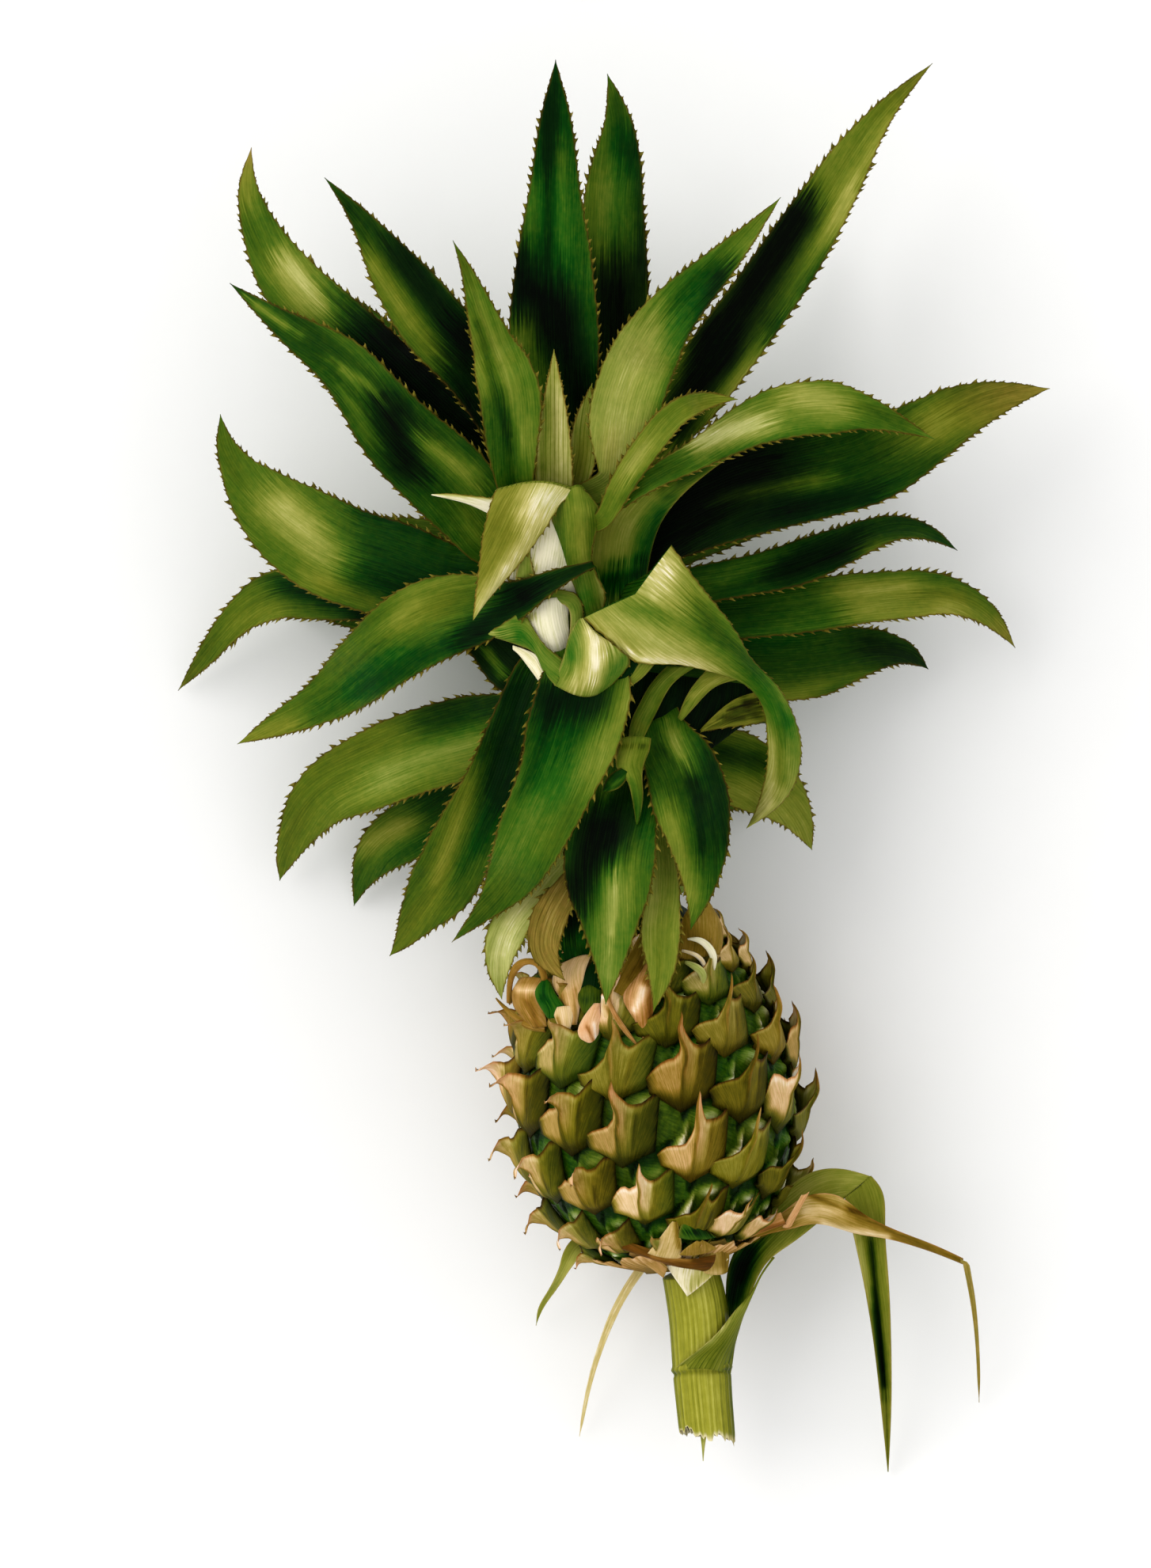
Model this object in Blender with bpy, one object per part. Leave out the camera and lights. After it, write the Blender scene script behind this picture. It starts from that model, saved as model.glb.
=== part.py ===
"""Pineapple, cut with its crown, its stalk and a few stalk leaves.

Every blade is worked out from named stations along its length; the blades are
then laid over one another so that none of them touch.
"""
import math

import bmesh
import bpy
import numpy as np

MM = 0.001
ORIGIN = np.array((-0.3, 0.3, -0.4258))   # brings the resting box's bottom centre to the origin

# ---------------------------------------------------------------- layout
# A cut pineapple lies on its side: fruit, crown, stalk and stalk leaves.
# +Z is up, the crown points along +Y, the stalk along -Y.  Millimetres.
# Plan positions are written on a layout grid: one grid step is GRID mm, the
# grid's second axis runs down the sheet, (GX, GY) is the middle of the sheet.
GRID = 0.3
GX, GY = 773.5, 971.0
FRUIT_AXIS = ((858, 1600, 55.5), (793, 1152, 58.5))
FRUIT_OUTLINE = ((0, 13), (.04, 25), (.09, 34), (.16, 42), (.24, 48), (.34, 52), (.45, 53.5),
                 (.56, 53), (.67, 49.5), (.78, 43.5), (.88, 36), (.95, 28.5), (1, 21))
FRUIT_AROUND, FRUIT_ROWS = 12, 12
CORE_PATH = ((793, 1143, 62), (772, 1060, 65), (748, 985, 69), (722, 860, 78), (709, 740, 91), (704, 650, 101), (706, 592, 107))
CORE_RADIUS = (21, 23, 23, 22, 21, 16, 8)
STALK_PATH = ((872, 1607, 55), (881, 1650, 53), (886, 1715, 50), (889, 1760, 48), (894, 1814, 46))
STALK_RADIUS = (10.6, 11.2, 11.0, 10.7, 10.0)

# Crown leaves, lowest layer first.  Each row: name, layer, stations along the
# blade (grid x, grid y, width in grid steps), heights in mm from foot to tip,
# then lean (how far the upper face tips toward the crown's end, degrees),
# channel depth as a share of the half width.
LEAVES = (
 ("leaf_under_a", 1, ((640, 790, 60), (540, 780, 78), (440, 765, 54), (330, 752, 0)), (56, 32, 3), 10, .16),
 ("leaf_under_b", 2, ((652, 930, 66), (570, 948, 78), (480, 978, 56), (408, 1014, 0)), (48, 24, .5), 0, .16),
 ("leaf_under_c", 3, ((668, 1000, 56), (615, 1040, 62), (575, 1085, 44), (545, 1128, 0)), (46, 22, .5), 0, .16),
 ("leaf_under_d", 4, ((822, 805, 66), (920, 802, 80), (1030, 806, 56), (1108, 814, 0)), (58, 32, .5), 10, .16),
 ("leaf_under_e", 5, ((815, 700, 74), (930, 645, 84), (1050, 604, 60), (1150, 562, 0)), (66, 40, 5), 10, .16),
 ("leaf_under_f", 6, ((842, 955, 56), (900, 988, 62), (948, 1004, 40), (988, 1018, 0)), (50, 26, .5), 0, .16),
 ("leaf_under_g", 7, ((705, 575, 80), (702, 450, 92), (702, 330, 66), (702, 230, 0)), (84, 66, 40), 0, .16),
 ("leaf_under_h", 8, ((800, 580, 70), (890, 470, 72), (970, 370, 48), (1040, 285, 0)), (78, 56, 24), 0, .16),
 ("leaf_under_i", 9, ((640, 596, 70), (540, 500, 76), (450, 410, 56), (368, 345, 0)), (82, 58, 26), 0, .16),
 ("leaf_under_k", 11, ((628, 716, 76), (540, 702, 90), (440, 688, 74), (335, 640, 0)), (74, 54, 24), 10, .16),
 ("leaf_under_m", .2, ((746, 1010, 56), (724, 905, 78), (706, 790, 56), (696, 690, 0)), (36, 22, .5), 0, .16),
 ("leaf_under_n", .4, ((712, 958, 50), (668, 864, 64), (628, 780, 50), (596, 694, 0)), (46, 28, 3), 0, .16),
 ("leaf_under_o", .6, ((772, 965, 54), (818, 880, 68), (866, 800, 54), (900, 716, 0)), (46, 28, 3), 0, .16),
 ("leaf_under_p", .8, ((714, 812, 56), (712, 710, 78), (708, 595, 56), (704, 488, 0)), (50, 38, 16), 0, .16),
 ("leaf_r", 20, ((636, 770, 52), (520, 757, 66), (400, 751, 66), (343, 754, 61), (303, 778, 42), (262, 824, 26), (223, 872, 0)), (82, 62, 40, 5), 12, .18),
 ("leaf_b", 21, ((765, 590, 80), (773, 400, 94), (777, 230, 70), (780, 150, 32), (767, 96, 0)), (92, 100, 104), 0, .18),
 ("leaf_s", 24, ((640, 606, 74), (540, 526, 90), (470, 457, 90), (417, 408, 86), (366, 356, 75), (329, 290, 46), (314, 236, 23), (318, 187, 0)), (94, 98, 88, 74), 0, .2),
 ("leaf_u", 28, ((662, 572, 74), (600, 463, 88), (551, 414, 86), (522, 376, 79), (495, 338, 62), (455, 278, 26), (411, 227, 0)), (104, 112, 114, 112), 0, .2),
 ("leaf_a", 30, ((707, 568, 88), (700, 430, 114), (700, 330, 95), (701, 240, 64), (702, 160, 42), (702, 81, 0)), (109, 121, 132, 146), 0, .2),
 ("leaf_y", 31, ((757, 602, 20), (755, 560, 24), (753, 520, 16), (752, 486, 0)), (110, 118, 126), 0, .2),
 ("leaf_x", 32, ((730, 606, 30), (735, 578, 36), (738, 540, 28), (743, 510, 14), (748, 487, 0)), (114, 126, 138), 0, .25),
 ("leaf_d", 33, ((806, 586, 54), (886, 480, 84), (988, 341, 80), (1059, 228, 60), (1109, 152, 31), (1177, 82, 0)), (94, 104, 104, 92), 0, .24),
 ("leaf_q", 34, ((628, 752, 90), (560, 745, 114), (490, 722, 124), (430, 702, 124), (374, 668, 112), (330, 630, 80), (300, 592, 44), (284, 558, 21), (278, 523, 0)), (94, 88, 74, 50), 12, .22),
 ("leaf_w", 35, ((700, 612, 50), (700, 575, 46), (700, 530, 36), (700, 487, 20), (700, 445, 0)), (118, 134, 150), 0, .3),
 ("leaf_t", 36, ((616, 668, 90), (563, 605, 108), (511, 557, 100), (464, 498, 80), (433, 462, 68), (386, 429, 48), (347, 402, 29), (291, 359, 0)), (104, 108, 102, 88), 0, .26),
 ("leaf_v", 37, ((650, 606, 50), (647, 557, 66), (644, 500, 78), (625, 443, 56), (606, 390, 34), (588, 340, 13), (573, 308, 0)), (114, 128, 138, 146), 0, .3),
 ("leaf_c", 38, ((780, 596, 50), (790, 520, 90), (815, 450, 84), (850, 397, 66), (905, 340, 44), (985, 253, 0)), (108, 122, 130, 134), 0, .22),
 ("leaf_ii", 39, ((872, 956, 78), (920, 968, 96), (962, 988, 84), (995, 1016, 56), (1014, 1045, 28), (1026, 1074, 0)), (80, 74, 44), 0, .16),
 ("leaf_j", 40, ((815, 838, 80), (930, 838, 102), (1010, 836, 102), (1065, 828, 74), (1110, 821, 50), (1148, 826, 26), (1174, 845, 0)), (76, 66, 46, 20), 16, .18),
 ("leaf_i", 41, ((818, 784, 56), (960, 775, 66), (1060, 762, 66), (1145, 752, 60), (1205, 755, 46), (1250, 778, 26), (1284, 818, 0)), (84, 76, 56, 22), 18, .18),
 ("leaf_h", 42, ((812, 750, 46), (930, 732, 50), (1010, 712, 56), (1075, 686, 46), (1130, 668, 32), (1175, 674, 18), (1210, 695, 0)), (88, 86, 70, 40), 18, .18),
 ("leaf_g", 43, ((828, 682, 72), (960, 622, 110), (1080, 592, 110), (1160, 553, 88), (1235, 512, 56), (1326, 491, 0)), (92, 96, 86, 66), 16, .2),
 ("leaf_bb", 44, ((648, 968, 50), (585, 1008, 78), (530, 1042, 78), (494, 1063, 68), (470, 1087, 48), (456, 1114, 24), (446, 1145, 0)), (66, 46, 30, 5), 0, .18),
 ("leaf_ga", 45, ((806, 712, 44), (812, 684, 58), (824, 650, 66), (858, 608, 54), (905, 578, 34), (970, 550, 0)), (104, 110, 106), 0, .15),
 ("leaf_aa", 46, ((668, 912, 78), (590, 932, 106), (520, 952, 104), (450, 982, 94), (408, 1006, 76), (378, 1046, 50), (360, 1084, 24), (352, 1113, 0)), (84, 72, 50, 12), 0, .18),
 ("leaf_jj", 46, ((852, 906, 40), (890, 894, 50), (930, 896, 46), (968, 914, 0)), (88, 88, 78), 0, .15),
 ("leaf_ee", 47, ((712, 1085, 44), (674, 1130, 52), (640, 1178, 48), (630, 1217, 32), (634, 1262, 0)), (94, 92, 80), 0, .2),
 ("leaf_o", 47, ((668, 862, 50), (646, 846, 60), (612, 812, 46), (566, 775, 0)), (92, 92, 84), 0, .2),
 ("leaf_nb", 48, ((716, 1118, 28), (694, 1160, 46), (688, 1198, 38), (714, 1238, 0)), (98, 102, 104), 0, .2),
 ("leaf_f", 46.5, ((772, 640, 24), (828, 604, 30), (884, 575, 40), (940, 542, 56), (990, 524, 68), (1040, 518, 68), (1088, 523, 46), (1130, 536, 24), (1179, 556, 0)), (112, 118, 118, 104), 10, .2),
 ("leaf_e", 48.5, ((768, 648, 26), (792, 603, 34), (822, 560, 36), (858, 522, 32), (895, 508, 20), (931, 507, 0)), (116, 126, 132), 0, .2),
 ("leaf_gg", 49, ((834, 1035, 14), (838, 1085, 30), (838, 1130, 42), (834, 1178, 50), (835, 1218, 38), (825, 1277, 0)), (96, 106, 112), 0, .2),
 ("leaf_ff", 50, ((792, 962, 60), (788, 990, 74), (779, 1035, 102), (770, 1080, 116), (769, 1125, 104), (770, 1170, 70), (769, 1215, 38), (765, 1268, 0)), (96, 112, 114, 114, 112), 0, .2),
 ("leaf_hh", 52, ((838, 912, 50), (842, 930, 64), (858, 966, 90), (872, 1012, 98), (882, 1060, 78), (884, 1100, 54), (880, 1140, 26), (872, 1174, 0)), (98, 110, 112, 108), 0, .2),
 ("leaf_cc", 54, ((668, 850, 40), (654, 885, 44), (634, 943, 55), (616, 995, 66), (596, 1038, 76), (579, 1079, 86), (561, 1113, 84), (533, 1152, 54), (511, 1185, 24), (492, 1208, 0)), (96, 92, 80, 50), 0, .22),
 ("leaf_m", 55, ((727, 628, 36), (725, 660, 60), (730, 700, 52), (745, 740, 40), (753, 778, 0)), (126, 122, 112), 0, .12),
 ("leaf_p", 57, ((742, 717, 12), (692, 738, 30), (645, 762, 56), (600, 772, 92), (543, 787, 106), (483, 826, 92), (440, 862, 74), (400, 890, 52), (350, 915, 30), (299, 940, 0)), (118, 112, 92, 64, 34), 6, .2),
 ("leaf_dd", 58, ((738, 806, 62), (742, 845, 100), (738, 876, 118), (726, 920, 120), (703, 987, 100), (671, 1056, 86), (647, 1106, 64), (612, 1150, 27), (571, 1190, 0)), (106, 120, 118, 110, 102, 92, 80), 0, .14),
 ("leaf_k", 60, ((794, 741, 140), (843, 787, 125), (893, 820, 78), (933, 845, 38), (968, 875, 28), (991, 925, 42), (990, 970, 42), (975, 1008, 28), (943, 1045, 0)), (130, 124, 108, 90, 72), 0, .12),
 ("leaf_l", 62, ((674, 623, 104), (655, 652, 80), (638, 690, 58), (620, 728, 34), (599, 780, 0)), (134, 130, 120), 0, .12),
)
LAYER_CORE = 42.5
# Leaves on the stalk, same columns.  Two of them are bent sharply and are
# made in two pieces that meet at the bend.
STALK_LEAVES = (
 ("stalk_leaf_a_rise", 1, ((934, 1646, 30), (946, 1615, 46), (968, 1580, 54), (1004, 1544, 60), (1045, 1512, 60), (1084, 1499, 50)), (52, 57, 61), 0, .2),
 ("stalk_leaf_a_fall", 2, ((1089, 1505, 50), (1101, 1560, 42), (1113, 1647, 32), (1120, 1733, 20), (1122, 1793, 9), (1124, 1863, 0)), (58, 40, 3), 0, .5),
 ("stalk_leaf_b_rise", 3, ((938, 1572, 10), (970, 1554, 16), (1005, 1538, 24), (1045, 1526, 36), (1080, 1541, 30), (1117, 1554, 16), (1150, 1568, 12), (1185, 1582, 10), (1216, 1594, 7)), (60, 67, 62, 50), 0, .3),
 ("stalk_leaf_b_fall", 4, ((1221, 1599, 8), (1229, 1640, 7), (1235, 1690, 5), (1238, 1740, 4), (1239, 1775, 0)), (48, 28, 3), 0, .3),
 ("stalk_leaf_c", 5, ((741, 1573, 12), (733, 1572, 19), (722, 1584, 20), (712, 1605, 13), (695, 1635, 8), (683, 1655, 6), (677, 1677, 0)), (44, 44, 24, 8), 0, .2),
 ("stalk_leaf_d", 6, ((808, 1606, 12), (795, 1625, 11), (775, 1662, 10), (760, 1700, 8), (745, 1750, 6), (736, 1795, 4), (732, 1818, 0)), (42, 34, 20, 4), 0, .2),
 ("stalk_bract", 7, ((881, 1615, 52), (875, 1625, 36), (868, 1640, 0)), (68.8, 67.8, 66.4), 0, -.2),
)
BLADE = 1.9          # blade thickness at the midrib
CLEAR = 0.7          # least gap kept between one blade and the next below
CELL = 2.0


def to_plan(gx, gy):
    return (gx - GX) * GRID, (GY - gy) * GRID


def spline(xs, ys, x):
    """Natural cubic spline through (xs, ys), read at x."""
    xs, ys, x = np.asarray(xs, float), np.asarray(ys, float), np.asarray(x, float)
    n = len(xs)
    h = np.diff(xs)
    A = np.eye(n)
    b = np.zeros((n,) + ys.shape[1:])
    for i in range(1, n - 1):
        A[i, i-1:i+2] = h[i-1], 2*(h[i-1] + h[i]), h[i]
        b[i] = 6*((ys[i+1] - ys[i])/h[i] - (ys[i] - ys[i-1])/h[i-1])
    m = np.linalg.solve(A, b)
    k = np.clip(np.searchsorted(xs, x, side="right") - 1, 0, n - 2)
    s = x - xs[k]
    r = xs[k+1] - x
    hk = h[k]
    if ys.ndim > 1:
        s, r, hk = s[:, None], r[:, None], hk[:, None]
    return (m[k]*r**3 + m[k+1]*s**3)/(6*hk) + (ys[k]/hk - m[k]*hk/6)*r + (ys[k+1]/hk - m[k+1]*hk/6)*s


def soft(xs, ys, x):
    """Monotone cubic through (xs, ys): no overshoot between stations."""
    xs, ys, x = np.asarray(xs, float), np.asarray(ys, float), np.asarray(x, float)
    h, d = np.diff(xs), np.diff(ys)/np.diff(xs)
    m = np.zeros(len(xs))
    for i in range(1, len(xs) - 1):
        if d[i-1]*d[i] > 0:
            w1, w2 = 2*h[i] + h[i-1], h[i] + 2*h[i-1]
            m[i] = (w1 + w2)/(w1/d[i-1] + w2/d[i])
    m[0], m[-1] = d[0], d[-1]
    k = np.clip(np.searchsorted(xs, x, side="right") - 1, 0, len(xs) - 2)
    t = (x - xs[k])/h[k]
    return ((2*t**3 - 3*t**2 + 1)*ys[k] + (t**3 - 2*t**2 + t)*h[k]*m[k]
            + (-2*t**3 + 3*t**2)*ys[k+1] + (t**3 - t**2)*h[k]*m[k+1])


class Blade:
    """One leaf blade: a spine with a width, a lean and a channel."""

    def __init__(self, row):
        self.name, self.layer, stations, heights, self.lean, self.channel = row
        xy = np.array([to_plan(s[0], s[1]) for s in stations])
        step = np.linalg.norm(np.diff(xy, axis=0), axis=1)
        self.at = np.concatenate([[0], np.cumsum(step)])/step.sum()
        self.xy, self.wide = xy, np.array([s[2]*GRID for s in stations])
        self.length = step.sum()
        self.high = np.linspace(0, 1, len(heights)), np.array(heights, float)
        self.grid = np.linspace(0, 1, 61)
        self.lift = np.zeros(61)

    def line(self, t):
        t = np.asarray(t, float)
        p = np.empty((len(t), 3))
        p[:, :2] = spline(self.at, self.xy, t)
        p[:, 2] = spline(*self.high, t) + np.interp(t, self.grid, self.lift)
        return p

    def frame(self, t):
        t = np.asarray(t, float)
        e = 1e-3
        c = self.line(t)
        T = self.line(np.minimum(t + e, 1)) - self.line(np.maximum(t - e, 0))
        T /= np.linalg.norm(T, axis=1)[:, None]
        a = math.radians(self.lean)
        up = np.array([0, math.sin(a), math.cos(a)])
        N = up - (T @ up)[:, None]*T
        N /= np.linalg.norm(N, axis=1)[:, None]
        W = np.cross(T, N)
        P = np.stack([T[:, 1], -T[:, 0]], 1)
        P /= np.linalg.norm(P, axis=1)[:, None]
        shown = np.maximum(np.abs((W[:, :2]*P).sum(1)), .5)
        half = .5*np.maximum(soft(self.at, self.wide, t), 0)/shown
        return c, T, W, N, half

    def sheet(self, t, u):
        """Middle surface, shape (len(t), len(u), 3); u runs -1..1 across."""
        c, T, W, N, half = self.frame(t)
        u = np.asarray(u, float)
        rise = self.channel*np.abs(u)**1.3
        return c[:, None] + half[:, None, None]*(u[None, :, None]*W[:, None] + rise[None, :, None]*N[:, None])


class Floor:
    """Tallest surface so far, cell by cell, seen from above."""

    def __init__(self):
        self.n = 360
        self.top = np.full((self.n, self.n), -50.0)

    def cell(self, p):
        i = np.clip(np.floor(p[..., 0]/CELL).astype(int) + self.n//2, 1, self.n - 2)
        j = np.clip(np.floor(p[..., 1]/CELL).astype(int) + self.n//2, 1, self.n - 2)
        return i, j

    def add(self, p):
        i, j = self.cell(p)
        np.maximum.at(self.top, (i, j), p[..., 2])

    def read(self, p):
        i, j = self.cell(p)
        return np.max([self.top[i+a, j+b] for a in (-1, 0, 1) for b in (-1, 0, 1)], axis=0)


def round_rows(path, radius, n, rows):
    """Rings of a round body along a bent axis: centres, directions, radii."""
    p = np.array([(*to_plan(a, b), c) for a, b, c in path])
    d = np.concatenate([[0], np.cumsum(np.linalg.norm(np.diff(p, axis=0), axis=1))])
    d /= d[-1]
    s = np.linspace(0, 1, rows)
    c = spline(d, p, s)
    T = spline(d, p, np.minimum(s + .002, 1)) - spline(d, p, np.maximum(s - .002, 0))
    T /= np.linalg.norm(T, axis=1)[:, None]
    r = soft(d, radius, s)
    U = np.cross(T, (0, 0, 1.0))
    U /= np.linalg.norm(U, axis=1)[:, None]
    V = np.cross(U, T)
    a = np.arange(n)*2*math.pi/n
    return c[:, None] + r[:, None, None]*(np.cos(a)[None, :, None]*U[:, None] + np.sin(a)[None, :, None]*V[:, None]), c, T, U, V, r


def fruit_point(s, a, out=0.0, along=0.0):
    """A point on the fruit: s along the axis, a around it (radians)."""
    p0, p1 = (np.array((*to_plan(x, y), z)) for x, y, z in FRUIT_AXIS)
    length = np.linalg.norm(p1 - p0)
    T = (p1 - p0)/length
    U = np.cross(T, (0, 0, 1.0))
    U /= np.linalg.norm(U)
    V = np.cross(U, T)
    r = soft([q[0] for q in FRUIT_OUTLINE], [q[1] for q in FRUIT_OUTLINE], np.clip(s, 0, 1)) + out
    s, a, r = np.asarray(s)[..., None], np.asarray(a)[..., None], np.asarray(r)[..., None]
    return p0 + (s*length + along)*T + r*(np.cos(a)*U + np.sin(a)*V)


def settle():
    """Lay the blades over one another, lowest layer first."""
    floor = Floor()
    floor.top[:] = 0.05 - CLEAR
    blades = [Blade(row) for row in sorted(LEAVES, key=lambda row: row[1])]
    blades += [Blade(row) for row in STALK_LEAVES]
    solids = stalk = False
    t = np.linspace(0, 1, 121)
    u = np.linspace(-1, 1, 23)
    for blade in blades:
        if blade.name.startswith("stalk") and not stalk:
            stalk = True
            floor = Floor()
            floor.top[:] = 0.05 - CLEAR
            solids = True
        if blade.layer > LAYER_CORE and not solids:
            solids = True
            s, a = np.meshgrid(np.linspace(0, 1, 200), np.linspace(0, 2*math.pi, 400))
            floor.add(fruit_point(s, a, 2.2))
            rings = round_rows(CORE_PATH, np.array(CORE_RADIUS) + .5, 120, 160)[0]
            floor.add(rings)
        for _ in range(6):
            p = blade.sheet(t, u)
            under = p[..., 2] - BLADE/2*(1 - .8*np.abs(u))[None, :]
            need = (floor.read(p) + CLEAR - under).max(axis=1)
            need = np.maximum(need, 0)
            if need.max() < .02:
                break
            full = np.interp(blade.grid, t, need)
            wide = np.array([full[max(0, k-5):k+6].max() for k in range(61)])
            kern = np.exp(-.5*(np.arange(-5, 6)/2.4)**2)
            kern /= kern.sum()
            blade.lift += np.convolve(np.pad(wide, 5, mode="edge"), kern, mode="valid")
        p = blade.sheet(t, u)
        p[..., 2] += BLADE/2*(1 - .8*np.abs(u))[None, :]
        floor.add(p)
    return blades
# ------------------------------------------------------------ end of layout


MATERIALS = {  # colour (linear), roughness
    "leaf_dark": ((.020, .075, .018), .42), "leaf_olive": ((.115, .150, .038), .48),
    "leaf_light": ((.240, .270, .080), .50), "leaf_brown": ((.260, .150, .050), .62),
    "fruit_skin": ((.190, .130, .030), .52), "crown_stem": ((.600, .560, .380), .60),
    "stalk_green": ((.250, .270, .060), .50), "leaf_straw": ((.520, .400, .180), .65),
}
MATERIAL_OF = {"fruit": "fruit_skin", "crown_stem": "crown_stem", "stalk": "stalk_green",
               "leaf_nb": "leaf_brown", "stalk_leaf_a_rise": "stalk_green", "stalk_leaf_a_fall": "stalk_green",
               "stalk_leaf_b_rise": "leaf_brown", "stalk_leaf_b_fall": "leaf_brown", "stalk_leaf_c": "stalk_green",
               "stalk_leaf_d": "leaf_straw", "stalk_bract": "leaf_straw"}
LIGHT = ("leaf_c", "leaf_f", "leaf_k", "leaf_w", "leaf_x", "leaf_ee", "leaf_m", "leaf_l")
DARK = ("leaf_a", "leaf_b", "leaf_u", "leaf_t", "leaf_h", "leaf_g", "leaf_y", "leaf_hh", "leaf_ff", "leaf_o", "leaf_cc")


def material(name):
    if name in bpy.data.materials:
        return bpy.data.materials[name]
    colour, rough = MATERIALS[name]
    mat = bpy.data.materials.new(name)
    mat.use_nodes = True
    skin = mat.node_tree.nodes["Principled BSDF"]
    skin.inputs["Base Color"].default_value = (*colour, 1)
    skin.inputs["Roughness"].default_value = rough
    skin.inputs["Metallic"].default_value = 0
    mat.diffuse_color = (*colour, 1)
    return mat


def add_solid(name, verts, faces, parent):
    """Makes one closed piece; its origin is the first point of its foot."""
    foot = np.array(verts[0])
    bm = bmesh.new()
    points = [bm.verts.new((np.array(v) - foot)*MM) for v in verts]
    for face in faces:
        bm.faces.new([points[i] for i in face])
    bmesh.ops.triangulate(bm, faces=[f for f in bm.faces if len(f.verts) > 3])
    bmesh.ops.recalc_face_normals(bm, faces=bm.faces)
    mesh = bpy.data.meshes.new(name)
    bm.to_mesh(mesh)
    bm.free()
    kind = MATERIAL_OF.get(name, "leaf_light" if name in LIGHT else "leaf_dark" if name in DARK else "leaf_olive")
    mesh.materials.append(material(kind))
    mesh.shade_smooth()
    mesh.set_sharp_from_angle(angle=math.radians(40))
    obj = bpy.data.objects.new(name, mesh)
    bpy.context.scene.collection.objects.link(obj)
    obj.location = foot*MM
    obj.parent = parent
    return obj


def blade_solid(blade):
    """A thin blade of rhomb section: two sharp margins, a midrib above and below."""
    pieces = max(5, min(11, int(round(blade.length/13))))
    t = np.linspace(0, 1, pieces + 1)
    c, T, W, N, half = blade.frame(t)
    verts, faces = [], []
    for k in range(pieces):
        rise = blade.channel*half[k]
        thick = BLADE/2*min(1, .35 + half[k]/6)
        verts += [c[k] - half[k]*W[k] + rise*N[k], c[k] + thick*N[k],
                  c[k] + half[k]*W[k] + rise*N[k], c[k] - thick*N[k]]
    for k in range(pieces - 1):
        a, b = 4*k, 4*k + 4
        for i in range(4):
            j = (i + 1) % 4
            faces.append((a + i, a + j, b + j, b + i))
    faces += [(0, 3, 1), (3, 2, 1)]
    end = 4*(pieces - 1)
    if blade.wide[-1] == 0:
        verts.append(c[-1])
        for i in range(4):
            faces.append((end + i, end + (i + 1) % 4, len(verts) - 1))
    else:
        k = pieces
        rise = blade.channel*half[k]
        verts += [c[k] - half[k]*W[k] + rise*N[k], c[k] + BLADE/2*N[k], c[k] + half[k]*W[k] + rise*N[k], c[k] - BLADE/2*N[k]]
        for i in range(4):
            j = (i + 1) % 4
            faces.append((end + i, end + j, end + 4 + j, end + 4 + i))
        faces += [(end + 4, end + 5, end + 7), (end + 5, end + 6, end + 7)]
    return verts, faces


def round_solid(path, radius, n, rows, end=0.0):
    rings, c, T, U, V, r = round_rows(path, radius, n, rows)
    verts = [p for ring in rings for p in ring]
    faces = []
    for k in range(rows - 1):
        for i in range(n):
            j = (i + 1) % n
            faces.append((k*n + i, k*n + j, (k+1)*n + j, (k+1)*n + i))
    verts += [c[0], c[-1] + end*T[-1]]
    for i in range(n):
        j = (i + 1) % n
        faces.append((j, i, len(verts) - 2))
        faces.append(((rows-1)*n + i, (rows-1)*n + j, len(verts) - 1))
    return verts, faces


def fruit_solid():
    """Rhombic fruitlets in offset rows, each with a raised, forward-leaning point."""
    n, rows = FRUIT_AROUND, FRUIT_ROWS
    step = 2*math.pi/n
    s = np.linspace(0, 1, rows + 1)
    s = .5*(s + np.sin((s - .5)*math.pi)*.5 + .5)
    verts, faces = [], []
    for j in range(rows + 1):
        for k in range(n):
            verts.append(fruit_point(s[j], (k + .5*(j % 2))*step, -1.6))

    def node(j, k):
        return j*n + k % n

    for j in range(rows):
        shift = j % 2
        for k in range(n):
            left, right, up = node(j, k), node(j, k + 1), node(j + 1, k + shift)
            if j == 0:
                faces.append((left, right, up))
                continue
            ring = [left, node(j - 1, k + shift), right, up]
            grow = math.sin(math.pi*s[j])
            verts.append(fruit_point(s[j], (k + .5 + .5*shift)*step, 2.2 + 1.2*grow, 2.0 + 1.5*grow))
            for i in range(4):
                faces.append((ring[i], ring[(i + 1) % 4], len(verts) - 1))
    shift = rows % 2
    for k in range(n):
        faces.append((node(rows, k), node(rows - 1, k + shift), node(rows, k + 1)))
    verts += [fruit_point(0, 0, -FRUIT_OUTLINE[0][1]), fruit_point(1, 0, -FRUIT_OUTLINE[-1][1], 1.0)]
    for k in range(n):
        faces.append((node(0, k + 1), node(0, k), len(verts) - 2))
        faces.append((node(rows, k), node(rows, k + 1), len(verts) - 1))
    return verts, faces


def build():
    for obj in list(bpy.data.objects):
        bpy.data.objects.remove(obj, do_unlink=True)
    plant = bpy.data.objects.new("pineapple", None)
    bpy.context.scene.collection.objects.link(plant)
    solids = {"fruit": fruit_solid(),
              "crown_stem": round_solid(CORE_PATH, CORE_RADIUS, 14, 12, 6.0),
              "stalk": round_solid(STALK_PATH, STALK_RADIUS, 14, 7)}
    for blade in settle():
        solids[blade.name] = blade_solid(blade)
    for name, (verts, faces) in solids.items():
        add_solid(name, [np.array(v) + ORIGIN for v in verts], faces, plant)


build()
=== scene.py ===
"""Cut pineapple lying on a pale floor: the looks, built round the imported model."""
import math

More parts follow.
